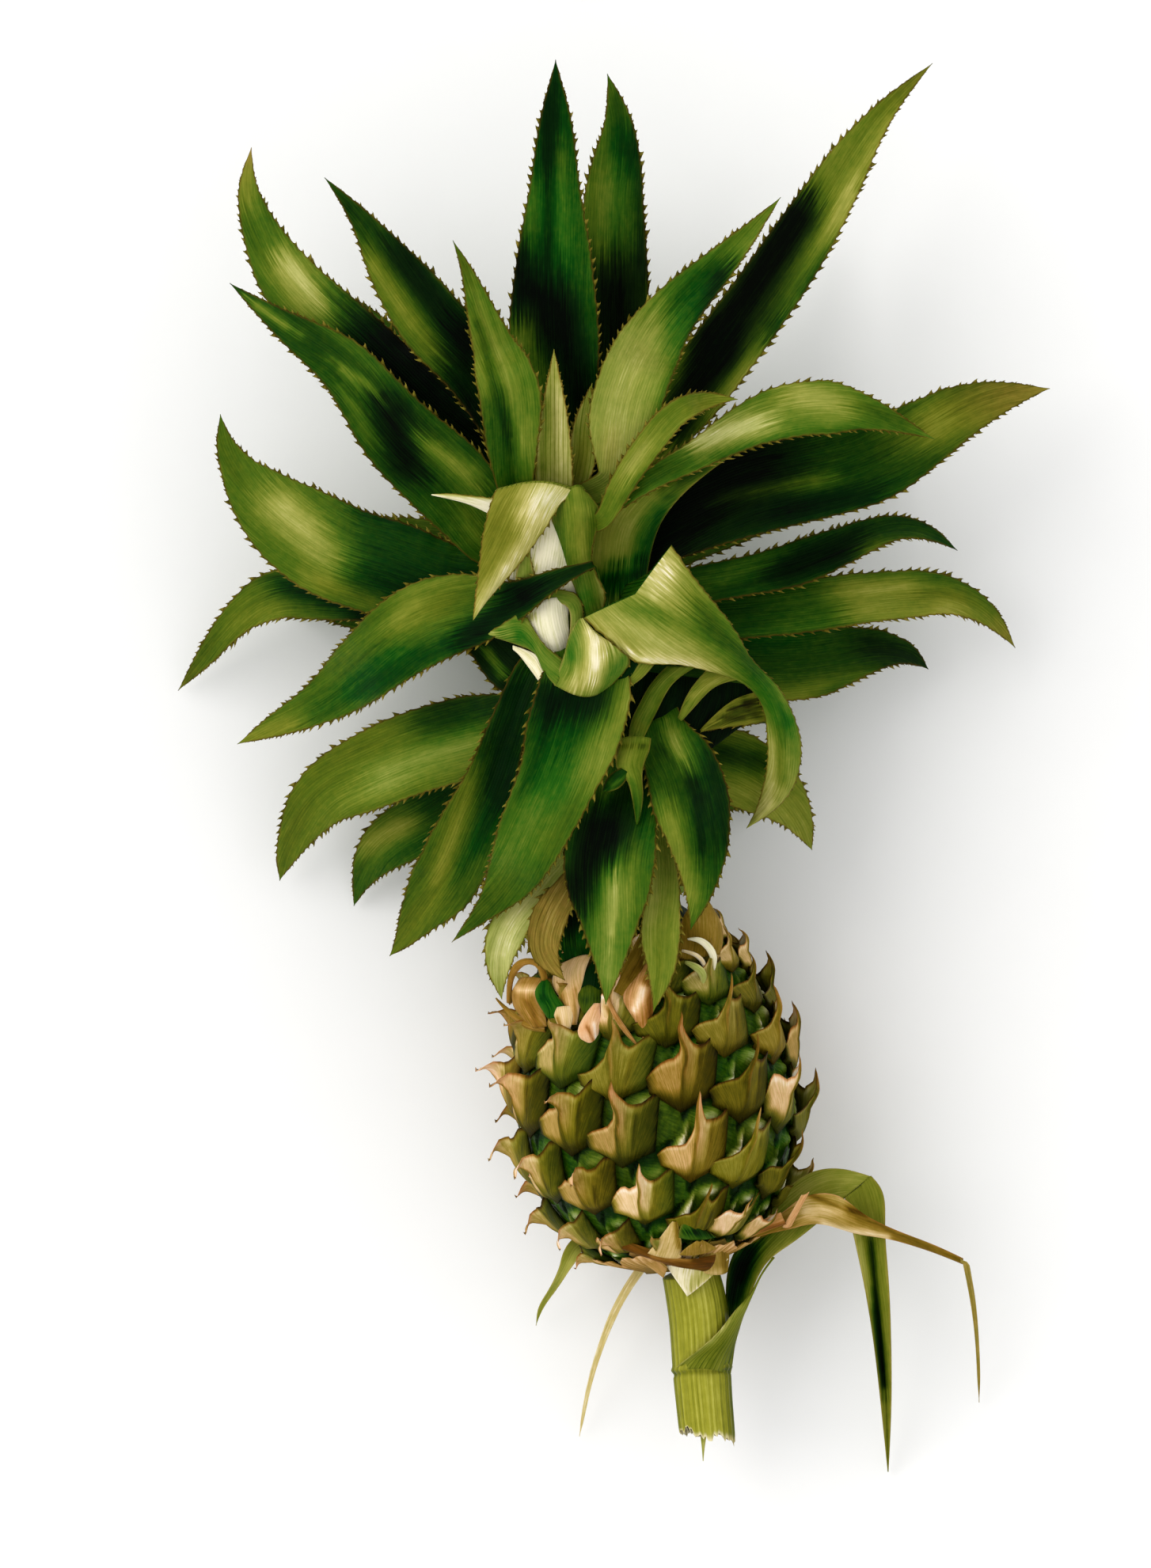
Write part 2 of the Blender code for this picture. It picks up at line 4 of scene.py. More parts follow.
import bpy
import numpy as np
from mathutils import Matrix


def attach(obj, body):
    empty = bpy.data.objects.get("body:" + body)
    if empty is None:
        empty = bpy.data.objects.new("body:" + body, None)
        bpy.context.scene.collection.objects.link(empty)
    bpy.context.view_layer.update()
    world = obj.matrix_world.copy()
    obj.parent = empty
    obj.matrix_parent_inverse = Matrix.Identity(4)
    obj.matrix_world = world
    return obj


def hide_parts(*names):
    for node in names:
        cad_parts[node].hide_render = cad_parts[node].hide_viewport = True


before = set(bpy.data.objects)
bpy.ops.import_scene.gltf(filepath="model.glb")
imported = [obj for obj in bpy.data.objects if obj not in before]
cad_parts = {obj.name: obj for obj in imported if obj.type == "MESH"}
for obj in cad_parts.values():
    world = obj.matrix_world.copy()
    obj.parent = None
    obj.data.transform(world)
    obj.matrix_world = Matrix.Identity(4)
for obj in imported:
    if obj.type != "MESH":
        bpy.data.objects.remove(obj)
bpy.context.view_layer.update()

MM = 0.001
ORIGIN = np.array((-0.3, 0.3, -0.4258))   # the same shift that the CAD model has

# ---------------------------------------------------------------- layout
# A cut pineapple lies on its side: fruit, crown, stalk and stalk leaves.
# +Z is up, the crown points along +Y, the stalk along -Y.  Millimetres.
# Plan positions are written on a layout grid: one grid step is GRID mm, the
# grid's second axis runs down the sheet, (GX, GY) is the middle of the sheet.
GRID = 0.3
GX, GY = 773.5, 971.0
FRUIT_AXIS = ((858, 1600, 55.5), (793, 1152, 58.5))
FRUIT_OUTLINE = ((0, 13), (.04, 25), (.09, 34), (.16, 42), (.24, 48), (.34, 52), (.45, 53.5),
                 (.56, 53), (.67, 49.5), (.78, 43.5), (.88, 36), (.95, 28.5), (1, 21))
FRUIT_AROUND, FRUIT_ROWS = 12, 12
CORE_PATH = ((793, 1143, 62), (772, 1060, 65), (748, 985, 69), (722, 860, 78), (709, 740, 91), (704, 650, 101), (706, 592, 107))
CORE_RADIUS = (21, 23, 23, 22, 21, 16, 8)
STALK_PATH = ((872, 1607, 55), (881, 1650, 53), (886, 1715, 50), (889, 1760, 48), (894, 1814, 46))
STALK_RADIUS = (10.6, 11.2, 11.0, 10.7, 10.0)

# Crown leaves, lowest layer first.  Each row: name, layer, stations along the
# blade (grid x, grid y, width in grid steps), heights in mm from foot to tip,
# then lean (how far the upper face tips toward the crown's end, degrees),
# channel depth as a share of the half width.
LEAVES = (
 ("leaf_under_a", 1, ((640, 790, 60), (540, 780, 78), (440, 765, 54), (330, 752, 0)), (56, 32, 3), 10, .16),
 ("leaf_under_b", 2, ((652, 930, 66), (570, 948, 78), (480, 978, 56), (408, 1014, 0)), (48, 24, .5), 0, .16),
 ("leaf_under_c", 3, ((668, 1000, 56), (615, 1040, 62), (575, 1085, 44), (545, 1128, 0)), (46, 22, .5), 0, .16),
 ("leaf_under_d", 4, ((822, 805, 66), (920, 802, 80), (1030, 806, 56), (1108, 814, 0)), (58, 32, .5), 10, .16),
 ("leaf_under_e", 5, ((815, 700, 74), (930, 645, 84), (1050, 604, 60), (1150, 562, 0)), (66, 40, 5), 10, .16),
 ("leaf_under_f", 6, ((842, 955, 56), (900, 988, 62), (948, 1004, 40), (988, 1018, 0)), (50, 26, .5), 0, .16),
 ("leaf_under_g", 7, ((705, 575, 80), (702, 450, 92), (702, 330, 66), (702, 230, 0)), (84, 66, 40), 0, .16),
 ("leaf_under_h", 8, ((800, 580, 70), (890, 470, 72), (970, 370, 48), (1040, 285, 0)), (78, 56, 24), 0, .16),
 ("leaf_under_i", 9, ((640, 596, 70), (540, 500, 76), (450, 410, 56), (368, 345, 0)), (82, 58, 26), 0, .16),
 ("leaf_under_k", 11, ((628, 716, 76), (540, 702, 90), (440, 688, 74), (335, 640, 0)), (74, 54, 24), 10, .16),
 ("leaf_under_m", .2, ((746, 1010, 56), (724, 905, 78), (706, 790, 56), (696, 690, 0)), (36, 22, .5), 0, .16),
 ("leaf_under_n", .4, ((712, 958, 50), (668, 864, 64), (628, 780, 50), (596, 694, 0)), (46, 28, 3), 0, .16),
 ("leaf_under_o", .6, ((772, 965, 54), (818, 880, 68), (866, 800, 54), (900, 716, 0)), (46, 28, 3), 0, .16),
 ("leaf_under_p", .8, ((714, 812, 56), (712, 710, 78), (708, 595, 56), (704, 488, 0)), (50, 38, 16), 0, .16),
 ("leaf_r", 20, ((636, 770, 52), (520, 757, 66), (400, 751, 66), (343, 754, 61), (303, 778, 42), (262, 824, 26), (223, 872, 0)), (82, 62, 40, 5), 12, .18),
 ("leaf_b", 21, ((765, 590, 80), (773, 400, 94), (777, 230, 70), (780, 150, 32), (767, 96, 0)), (92, 100, 104), 0, .18),
 ("leaf_s", 24, ((640, 606, 74), (540, 526, 90), (470, 457, 90), (417, 408, 86), (366, 356, 75), (329, 290, 46), (314, 236, 23), (318, 187, 0)), (94, 98, 88, 74), 0, .2),
 ("leaf_u", 28, ((662, 572, 74), (600, 463, 88), (551, 414, 86), (522, 376, 79), (495, 338, 62), (455, 278, 26), (411, 227, 0)), (104, 112, 114, 112), 0, .2),
 ("leaf_a", 30, ((707, 568, 88), (700, 430, 114), (700, 330, 95), (701, 240, 64), (702, 160, 42), (702, 81, 0)), (109, 121, 132, 146), 0, .2),
 ("leaf_y", 31, ((757, 602, 20), (755, 560, 24), (753, 520, 16), (752, 486, 0)), (110, 118, 126), 0, .2),
 ("leaf_x", 32, ((730, 606, 30), (735, 578, 36), (738, 540, 28), (743, 510, 14), (748, 487, 0)), (114, 126, 138), 0, .25),
 ("leaf_d", 33, ((806, 586, 54), (886, 480, 84), (988, 341, 80), (1059, 228, 60), (1109, 152, 31), (1177, 82, 0)), (94, 104, 104, 92), 0, .24),
 ("leaf_q", 34, ((628, 752, 90), (560, 745, 114), (490, 722, 124), (430, 702, 124), (374, 668, 112), (330, 630, 80), (300, 592, 44), (284, 558, 21), (278, 523, 0)), (94, 88, 74, 50), 12, .22),
 ("leaf_w", 35, ((700, 612, 50), (700, 575, 46), (700, 530, 36), (700, 487, 20), (700, 445, 0)), (118, 134, 150), 0, .3),
 ("leaf_t", 36, ((616, 668, 90), (563, 605, 108), (511, 557, 100), (464, 498, 80), (433, 462, 68), (386, 429, 48), (347, 402, 29), (291, 359, 0)), (104, 108, 102, 88), 0, .26),
 ("leaf_v", 37, ((650, 606, 50), (647, 557, 66), (644, 500, 78), (625, 443, 56), (606, 390, 34), (588, 340, 13), (573, 308, 0)), (114, 128, 138, 146), 0, .3),
 ("leaf_c", 38, ((780, 596, 50), (790, 520, 90), (815, 450, 84), (850, 397, 66), (905, 340, 44), (985, 253, 0)), (108, 122, 130, 134), 0, .22),
 ("leaf_ii", 39, ((872, 956, 78), (920, 968, 96), (962, 988, 84), (995, 1016, 56), (1014, 1045, 28), (1026, 1074, 0)), (80, 74, 44), 0, .16),
 ("leaf_j", 40, ((815, 838, 80), (930, 838, 102), (1010, 836, 102), (1065, 828, 74), (1110, 821, 50), (1148, 826, 26), (1174, 845, 0)), (76, 66, 46, 20), 16, .18),
 ("leaf_i", 41, ((818, 784, 56), (960, 775, 66), (1060, 762, 66), (1145, 752, 60), (1205, 755, 46), (1250, 778, 26), (1284, 818, 0)), (84, 76, 56, 22), 18, .18),
 ("leaf_h", 42, ((812, 750, 46), (930, 732, 50), (1010, 712, 56), (1075, 686, 46), (1130, 668, 32), (1175, 674, 18), (1210, 695, 0)), (88, 86, 70, 40), 18, .18),
 ("leaf_g", 43, ((828, 682, 72), (960, 622, 110), (1080, 592, 110), (1160, 553, 88), (1235, 512, 56), (1326, 491, 0)), (92, 96, 86, 66), 16, .2),
 ("leaf_bb", 44, ((648, 968, 50), (585, 1008, 78), (530, 1042, 78), (494, 1063, 68), (470, 1087, 48), (456, 1114, 24), (446, 1145, 0)), (66, 46, 30, 5), 0, .18),
 ("leaf_ga", 45, ((806, 712, 44), (812, 684, 58), (824, 650, 66), (858, 608, 54), (905, 578, 34), (970, 550, 0)), (104, 110, 106), 0, .15),
 ("leaf_aa", 46, ((668, 912, 78), (590, 932, 106), (520, 952, 104), (450, 982, 94), (408, 1006, 76), (378, 1046, 50), (360, 1084, 24), (352, 1113, 0)), (84, 72, 50, 12), 0, .18),
 ("leaf_jj", 46, ((852, 906, 40), (890, 894, 50), (930, 896, 46), (968, 914, 0)), (88, 88, 78), 0, .15),
 ("leaf_ee", 47, ((712, 1085, 44), (674, 1130, 52), (640, 1178, 48), (630, 1217, 32), (634, 1262, 0)), (94, 92, 80), 0, .2),
 ("leaf_o", 47, ((668, 862, 50), (646, 846, 60), (612, 812, 46), (566, 775, 0)), (92, 92, 84), 0, .2),
 ("leaf_nb", 48, ((716, 1118, 28), (694, 1160, 46), (688, 1198, 38), (714, 1238, 0)), (98, 102, 104), 0, .2),
 ("leaf_f", 46.5, ((772, 640, 24), (828, 604, 30), (884, 575, 40), (940, 542, 56), (990, 524, 68), (1040, 518, 68), (1088, 523, 46), (1130, 536, 24), (1179, 556, 0)), (112, 118, 118, 104), 10, .2),
 ("leaf_e", 48.5, ((768, 648, 26), (792, 603, 34), (822, 560, 36), (858, 522, 32), (895, 508, 20), (931, 507, 0)), (116, 126, 132), 0, .2),
 ("leaf_gg", 49, ((834, 1035, 14), (838, 1085, 30), (838, 1130, 42), (834, 1178, 50), (835, 1218, 38), (825, 1277, 0)), (96, 106, 112), 0, .2),
 ("leaf_ff", 50, ((792, 962, 60), (788, 990, 74), (779, 1035, 102), (770, 1080, 116), (769, 1125, 104), (770, 1170, 70), (769, 1215, 38), (765, 1268, 0)), (96, 112, 114, 114, 112), 0, .2),
 ("leaf_hh", 52, ((838, 912, 50), (842, 930, 64), (858, 966, 90), (872, 1012, 98), (882, 1060, 78), (884, 1100, 54), (880, 1140, 26), (872, 1174, 0)), (98, 110, 112, 108), 0, .2),
 ("leaf_cc", 54, ((668, 850, 40), (654, 885, 44), (634, 943, 55), (616, 995, 66), (596, 1038, 76), (579, 1079, 86), (561, 1113, 84), (533, 1152, 54), (511, 1185, 24), (492, 1208, 0)), (96, 92, 80, 50), 0, .22),
 ("leaf_m", 55, ((727, 628, 36), (725, 660, 60), (730, 700, 52), (745, 740, 40), (753, 778, 0)), (126, 122, 112), 0, .12),
 ("leaf_p", 57, ((742, 717, 12), (692, 738, 30), (645, 762, 56), (600, 772, 92), (543, 787, 106), (483, 826, 92), (440, 862, 74), (400, 890, 52), (350, 915, 30), (299, 940, 0)), (118, 112, 92, 64, 34), 6, .2),
 ("leaf_dd", 58, ((738, 806, 62), (742, 845, 100), (738, 876, 118), (726, 920, 120), (703, 987, 100), (671, 1056, 86), (647, 1106, 64), (612, 1150, 27), (571, 1190, 0)), (106, 120, 118, 110, 102, 92, 80), 0, .14),
 ("leaf_k", 60, ((794, 741, 140), (843, 787, 125), (893, 820, 78), (933, 845, 38), (968, 875, 28), (991, 925, 42), (990, 970, 42), (975, 1008, 28), (943, 1045, 0)), (130, 124, 108, 90, 72), 0, .12),
 ("leaf_l", 62, ((674, 623, 104), (655, 652, 80), (638, 690, 58), (620, 728, 34), (599, 780, 0)), (134, 130, 120), 0, .12),
)
LAYER_CORE = 42.5
# Leaves on the stalk, same columns.  Two of them are bent sharply and are
# made in two pieces that meet at the bend.
STALK_LEAVES = (
 ("stalk_leaf_a_rise", 1, ((934, 1646, 30), (946, 1615, 46), (968, 1580, 54), (1004, 1544, 60), (1045, 1512, 60), (1084, 1499, 50)), (52, 57, 61), 0, .2),
 ("stalk_leaf_a_fall", 2, ((1089, 1505, 50), (1101, 1560, 42), (1113, 1647, 32), (1120, 1733, 20), (1122, 1793, 9), (1124, 1863, 0)), (58, 40, 3), 0, .5),
 ("stalk_leaf_b_rise", 3, ((938, 1572, 10), (970, 1554, 16), (1005, 1538, 24), (1045, 1526, 36), (1080, 1541, 30), (1117, 1554, 16), (1150, 1568, 12), (1185, 1582, 10), (1216, 1594, 7)), (60, 67, 62, 50), 0, .3),
 ("stalk_leaf_b_fall", 4, ((1221, 1599, 8), (1229, 1640, 7), (1235, 1690, 5), (1238, 1740, 4), (1239, 1775, 0)), (48, 28, 3), 0, .3),
 ("stalk_leaf_c", 5, ((741, 1573, 12), (733, 1572, 19), (722, 1584, 20), (712, 1605, 13), (695, 1635, 8), (683, 1655, 6), (677, 1677, 0)), (44, 44, 24, 8), 0, .2),
 ("stalk_leaf_d", 6, ((808, 1606, 12), (795, 1625, 11), (775, 1662, 10), (760, 1700, 8), (745, 1750, 6), (736, 1795, 4), (732, 1818, 0)), (42, 34, 20, 4), 0, .2),
 ("stalk_bract", 7, ((881, 1615, 52), (875, 1625, 36), (868, 1640, 0)), (68.8, 67.8, 66.4), 0, -.2),
)
BLADE = 1.9          # blade thickness at the midrib
CLEAR = 0.7          # least gap kept between one blade and the next below
CELL = 2.0


def to_plan(gx, gy):
    return (gx - GX) * GRID, (GY - gy) * GRID


def spline(xs, ys, x):
    """Natural cubic spline through (xs, ys), read at x."""
    xs, ys, x = np.asarray(xs, float), np.asarray(ys, float), np.asarray(x, float)
    n = len(xs)
    h = np.diff(xs)
    A = np.eye(n)
    b = np.zeros((n,) + ys.shape[1:])
    for i in range(1, n - 1):
        A[i, i-1:i+2] = h[i-1], 2*(h[i-1] + h[i]), h[i]
        b[i] = 6*((ys[i+1] - ys[i])/h[i] - (ys[i] - ys[i-1])/h[i-1])
    m = np.linalg.solve(A, b)
    k = np.clip(np.searchsorted(xs, x, side="right") - 1, 0, n - 2)
    s = x - xs[k]
    r = xs[k+1] - x
    hk = h[k]
    if ys.ndim > 1:
        s, r, hk = s[:, None], r[:, None], hk[:, None]
    return (m[k]*r**3 + m[k+1]*s**3)/(6*hk) + (ys[k]/hk - m[k]*hk/6)*r + (ys[k+1]/hk - m[k+1]*hk/6)*s


def soft(xs, ys, x):
    """Monotone cubic through (xs, ys): no overshoot between stations."""
    xs, ys, x = np.asarray(xs, float), np.asarray(ys, float), np.asarray(x, float)
    h, d = np.diff(xs), np.diff(ys)/np.diff(xs)
    m = np.zeros(len(xs))
    for i in range(1, len(xs) - 1):
        if d[i-1]*d[i] > 0:
            w1, w2 = 2*h[i] + h[i-1], h[i] + 2*h[i-1]
            m[i] = (w1 + w2)/(w1/d[i-1] + w2/d[i])
    m[0], m[-1] = d[0], d[-1]
    k = np.clip(np.searchsorted(xs, x, side="right") - 1, 0, len(xs) - 2)
    t = (x - xs[k])/h[k]
    return ((2*t**3 - 3*t**2 + 1)*ys[k] + (t**3 - 2*t**2 + t)*h[k]*m[k]
            + (-2*t**3 + 3*t**2)*ys[k+1] + (t**3 - t**2)*h[k]*m[k+1])


class Blade:
    """One leaf blade: a spine with a width, a lean and a channel."""

    def __init__(self, row):
        self.name, self.layer, stations, heights, self.lean, self.channel = row
        xy = np.array([to_plan(s[0], s[1]) for s in stations])
        step = np.linalg.norm(np.diff(xy, axis=0), axis=1)
        self.at = np.concatenate([[0], np.cumsum(step)])/step.sum()
        self.xy, self.wide = xy, np.array([s[2]*GRID for s in stations])
        self.length = step.sum()
        self.high = np.linspace(0, 1, len(heights)), np.array(heights, float)
        self.grid = np.linspace(0, 1, 61)
        self.lift = np.zeros(61)

    def line(self, t):
        t = np.asarray(t, float)
        p = np.empty((len(t), 3))
        p[:, :2] = spline(self.at, self.xy, t)
        p[:, 2] = spline(*self.high, t) + np.interp(t, self.grid, self.lift)
        return p

    def frame(self, t):
        t = np.asarray(t, float)
        e = 1e-3
        c = self.line(t)
        T = self.line(np.minimum(t + e, 1)) - self.line(np.maximum(t - e, 0))
        T /= np.linalg.norm(T, axis=1)[:, None]
        a = math.radians(self.lean)
        up = np.array([0, math.sin(a), math.cos(a)])
        N = up - (T @ up)[:, None]*T
        N /= np.linalg.norm(N, axis=1)[:, None]
        W = np.cross(T, N)
        P = np.stack([T[:, 1], -T[:, 0]], 1)
        P /= np.linalg.norm(P, axis=1)[:, None]
        shown = np.maximum(np.abs((W[:, :2]*P).sum(1)), .5)
        half = .5*np.maximum(soft(self.at, self.wide, t), 0)/shown
        return c, T, W, N, half

    def sheet(self, t, u):
        """Middle surface, shape (len(t), len(u), 3); u runs -1..1 across."""
        c, T, W, N, half = self.frame(t)
        u = np.asarray(u, float)
        rise = self.channel*np.abs(u)**1.3
        return c[:, None] + half[:, None, None]*(u[None, :, None]*W[:, None] + rise[None, :, None]*N[:, None])


class Floor:
    """Tallest surface so far, cell by cell, seen from above."""

    def __init__(self):
        self.n = 360
        self.top = np.full((self.n, self.n), -50.0)

    def cell(self, p):
        i = np.clip(np.floor(p[..., 0]/CELL).astype(int) + self.n//2, 1, self.n - 2)
        j = np.clip(np.floor(p[..., 1]/CELL).astype(int) + self.n//2, 1, self.n - 2)
        return i, j

    def add(self, p):
        i, j = self.cell(p)
        np.maximum.at(self.top, (i, j), p[..., 2])

    def read(self, p):
        i, j = self.cell(p)
        return np.max([self.top[i+a, j+b] for a in (-1, 0, 1) for b in (-1, 0, 1)], axis=0)


def round_rows(path, radius, n, rows):
    """Rings of a round body along a bent axis: centres, directions, radii."""
    p = np.array([(*to_plan(a, b), c) for a, b, c in path])
    d = np.concatenate([[0], np.cumsum(np.linalg.norm(np.diff(p, axis=0), axis=1))])
    d /= d[-1]
    s = np.linspace(0, 1, rows)
    c = spline(d, p, s)
    T = spline(d, p, np.minimum(s + .002, 1)) - spline(d, p, np.maximum(s - .002, 0))
    T /= np.linalg.norm(T, axis=1)[:, None]
    r = soft(d, radius, s)
    U = np.cross(T, (0, 0, 1.0))
    U /= np.linalg.norm(U, axis=1)[:, None]
    V = np.cross(U, T)
    a = np.arange(n)*2*math.pi/n
    return c[:, None] + r[:, None, None]*(np.cos(a)[None, :, None]*U[:, None] + np.sin(a)[None, :, None]*V[:, None]), c, T, U, V, r


def fruit_point(s, a, out=0.0, along=0.0):
    """A point on the fruit: s along the axis, a around it (radians)."""
    p0, p1 = (np.array((*to_plan(x, y), z)) for x, y, z in FRUIT_AXIS)
    length = np.linalg.norm(p1 - p0)
    T = (p1 - p0)/length
    U = np.cross(T, (0, 0, 1.0))
    U /= np.linalg.norm(U)
    V = np.cross(U, T)
    r = soft([q[0] for q in FRUIT_OUTLINE], [q[1] for q in FRUIT_OUTLINE], np.clip(s, 0, 1)) + out
    s, a, r = np.asarray(s)[..., None], np.asarray(a)[..., None], np.asarray(r)[..., None]
    return p0 + (s*length + along)*T + r*(np.cos(a)*U + np.sin(a)*V)


def settle():
    """Lay the blades over one another, lowest layer first."""
    floor = Floor()
    floor.top[:] = 0.05 - CLEAR
    blades = [Blade(row) for row in sorted(LEAVES, key=lambda row: row[1])]
    blades += [Blade(row) for row in STALK_LEAVES]
    solids = stalk = False
    t = np.linspace(0, 1, 121)
    u = np.linspace(-1, 1, 23)
    for blade in blades:
        if blade.name.startswith("stalk") and not stalk:
            stalk = True
            floor = Floor()
            floor.top[:] = 0.05 - CLEAR
            solids = True
        if blade.layer > LAYER_CORE and not solids:
            solids = True
            s, a = np.meshgrid(np.linspace(0, 1, 200), np.linspace(0, 2*math.pi, 400))
            floor.add(fruit_point(s, a, 2.2))
            rings = round_rows(CORE_PATH, np.array(CORE_RADIUS) + .5, 120, 160)[0]
            floor.add(rings)
        for _ in range(6):
            p = blade.sheet(t, u)
            under = p[..., 2] - BLADE/2*(1 - .8*np.abs(u))[None, :]
            need = (floor.read(p) + CLEAR - under).max(axis=1)
            need = np.maximum(need, 0)
            if need.max() < .02:
                break
            full = np.interp(blade.grid, t, need)
            wide = np.array([full[max(0, k-5):k+6].max() for k in range(61)])
            kern = np.exp(-.5*(np.arange(-5, 6)/2.4)**2)
            kern /= kern.sum()
            blade.lift += np.convolve(np.pad(wide, 5, mode="edge"), kern, mode="valid")
        p = blade.sheet(t, u)
        p[..., 2] += BLADE/2*(1 - .8*np.abs(u))[None, :]
        floor.add(p)
    return blades
# ------------------------------------------------------------ end of layout


def to_grid(p):
    """Layout millimetres back to grid steps, in plan."""
    return p[..., 0]/GRID + GX, GY - p[..., 1]/GRID


def smooth(a, b, x):
    t = np.clip((np.asarray(x, float) - a)/(b - a), 0, 1)
    return t*t*(3 - 2*t)


# ------------------------------------------------------------- materials
def srgb(r, g, b):
    return tuple((v/255/12.92 if v <= 10 else ((v/255 + .055)/1.055)**2.4) for v in (r, g, b)) + (1.0,)


class Net:
    """A small helper that adds shader nodes and joins them."""

    def __init__(self, name, rough=.5, spec=.5):
        self.mat = bpy.data.materials.new(name)
        self.mat.use_nodes = True
        self.t = self.mat.node_tree
        self.skin = self.t.nodes["Principled BSDF"]
        self.skin.inputs["Roughness"].default_value = rough
        self.skin.inputs["Specular IOR Level"].default_value = spec

    def put(self, socket, value):
        if isinstance(value, bpy.types.NodeSocket):
            self.t.links.new(value, socket)
        else:
            socket.default_value = value

    def attr(self, name):
        n = self.t.nodes.new("ShaderNodeAttribute")
        n.attribute_name = name
        return n

    def math(self, op, a, b=0.0, clamp=False):
        n = self.t.nodes.new("ShaderNodeMath")
        n.operation = op
        n.use_clamp = clamp
        self.put(n.inputs[0], a)
        self.put(n.inputs[1], b)
        return n.outputs[0]

    def mix(self, fac, a, b):
        n = self.t.nodes.new("ShaderNodeMix")
        n.data_type = "RGBA"
        self.put(n.inputs[0], fac)
        self.put(n.inputs[6], a)
        self.put(n.inputs[7], b)
        return n.outputs[2]

    def split(self, v):
        n = self.t.nodes.new("ShaderNodeSeparateXYZ")
        self.put(n.inputs[0], v)
        return n.outputs

    def join(self, x, y, z):
        n = self.t.nodes.new("ShaderNodeCombineXYZ")
        for s, v in zip(n.inputs, (x, y, z)):
            self.put(s, v)
        return n.outputs[0]

    def noise(self, v, scale, detail=2.0, rough=.5):
        n = self.t.nodes.new("ShaderNodeTexNoise")
        self.put(n.inputs["Vector"], v)
        n.inputs["Scale"].default_value = scale
        n.inputs["Detail"].default_value = detail
        n.inputs["Roughness"].default_value = rough
        return n.outputs["Fac"]

    def ramp(self, fac, stops):
        n = self.t.nodes.new("ShaderNodeValToRGB")
        self.put(n.inputs[0], fac)
        e = n.color_ramp.elements
        while len(e) < len(stops):
            e.new(.5)
        for k, (at, colour) in enumerate(stops):
            e[k].position, e[k].color = at, colour
        return n.outputs[0]

    def bump(self, height, distance, strength=1.0):
        n = self.t.nodes.new("ShaderNodeBump")
        n.inputs["Strength"].default_value = strength
        n.inputs["Distance"].default_value = distance
        self.put(n.inputs["Height"], height)
        self.t.links.new(n.outputs[0], self.skin.inputs["Normal"])

    def colour(self, c):
        self.put(self.skin.inputs["Base Color"], c)

    def rough(self, v):
        self.put(self.skin.inputs["Roughness"], v)


COOL = ((0, srgb(0, 4, 0)), (.2, srgb(1, 32, 2)), (.35, srgb(4, 62, 4)), (.5, srgb(38, 94, 14)), (.62, srgb(88, 118, 33)),
        (.75, srgb(136, 149, 64)), (.88, srgb(180, 188, 112)), (1, srgb(242, 238, 206)))
WARM = ((0, srgb(3, 5, 0)), (.2, srgb(28, 40, 2)), (.35, srgb(64, 76, 8)), (.5, srgb(98, 106, 20)), (.62, srgb(124, 128, 38)),
        (.75, srgb(156, 154, 68)), (.88, srgb(198, 190, 114)), (1, srgb(244, 234, 200)))


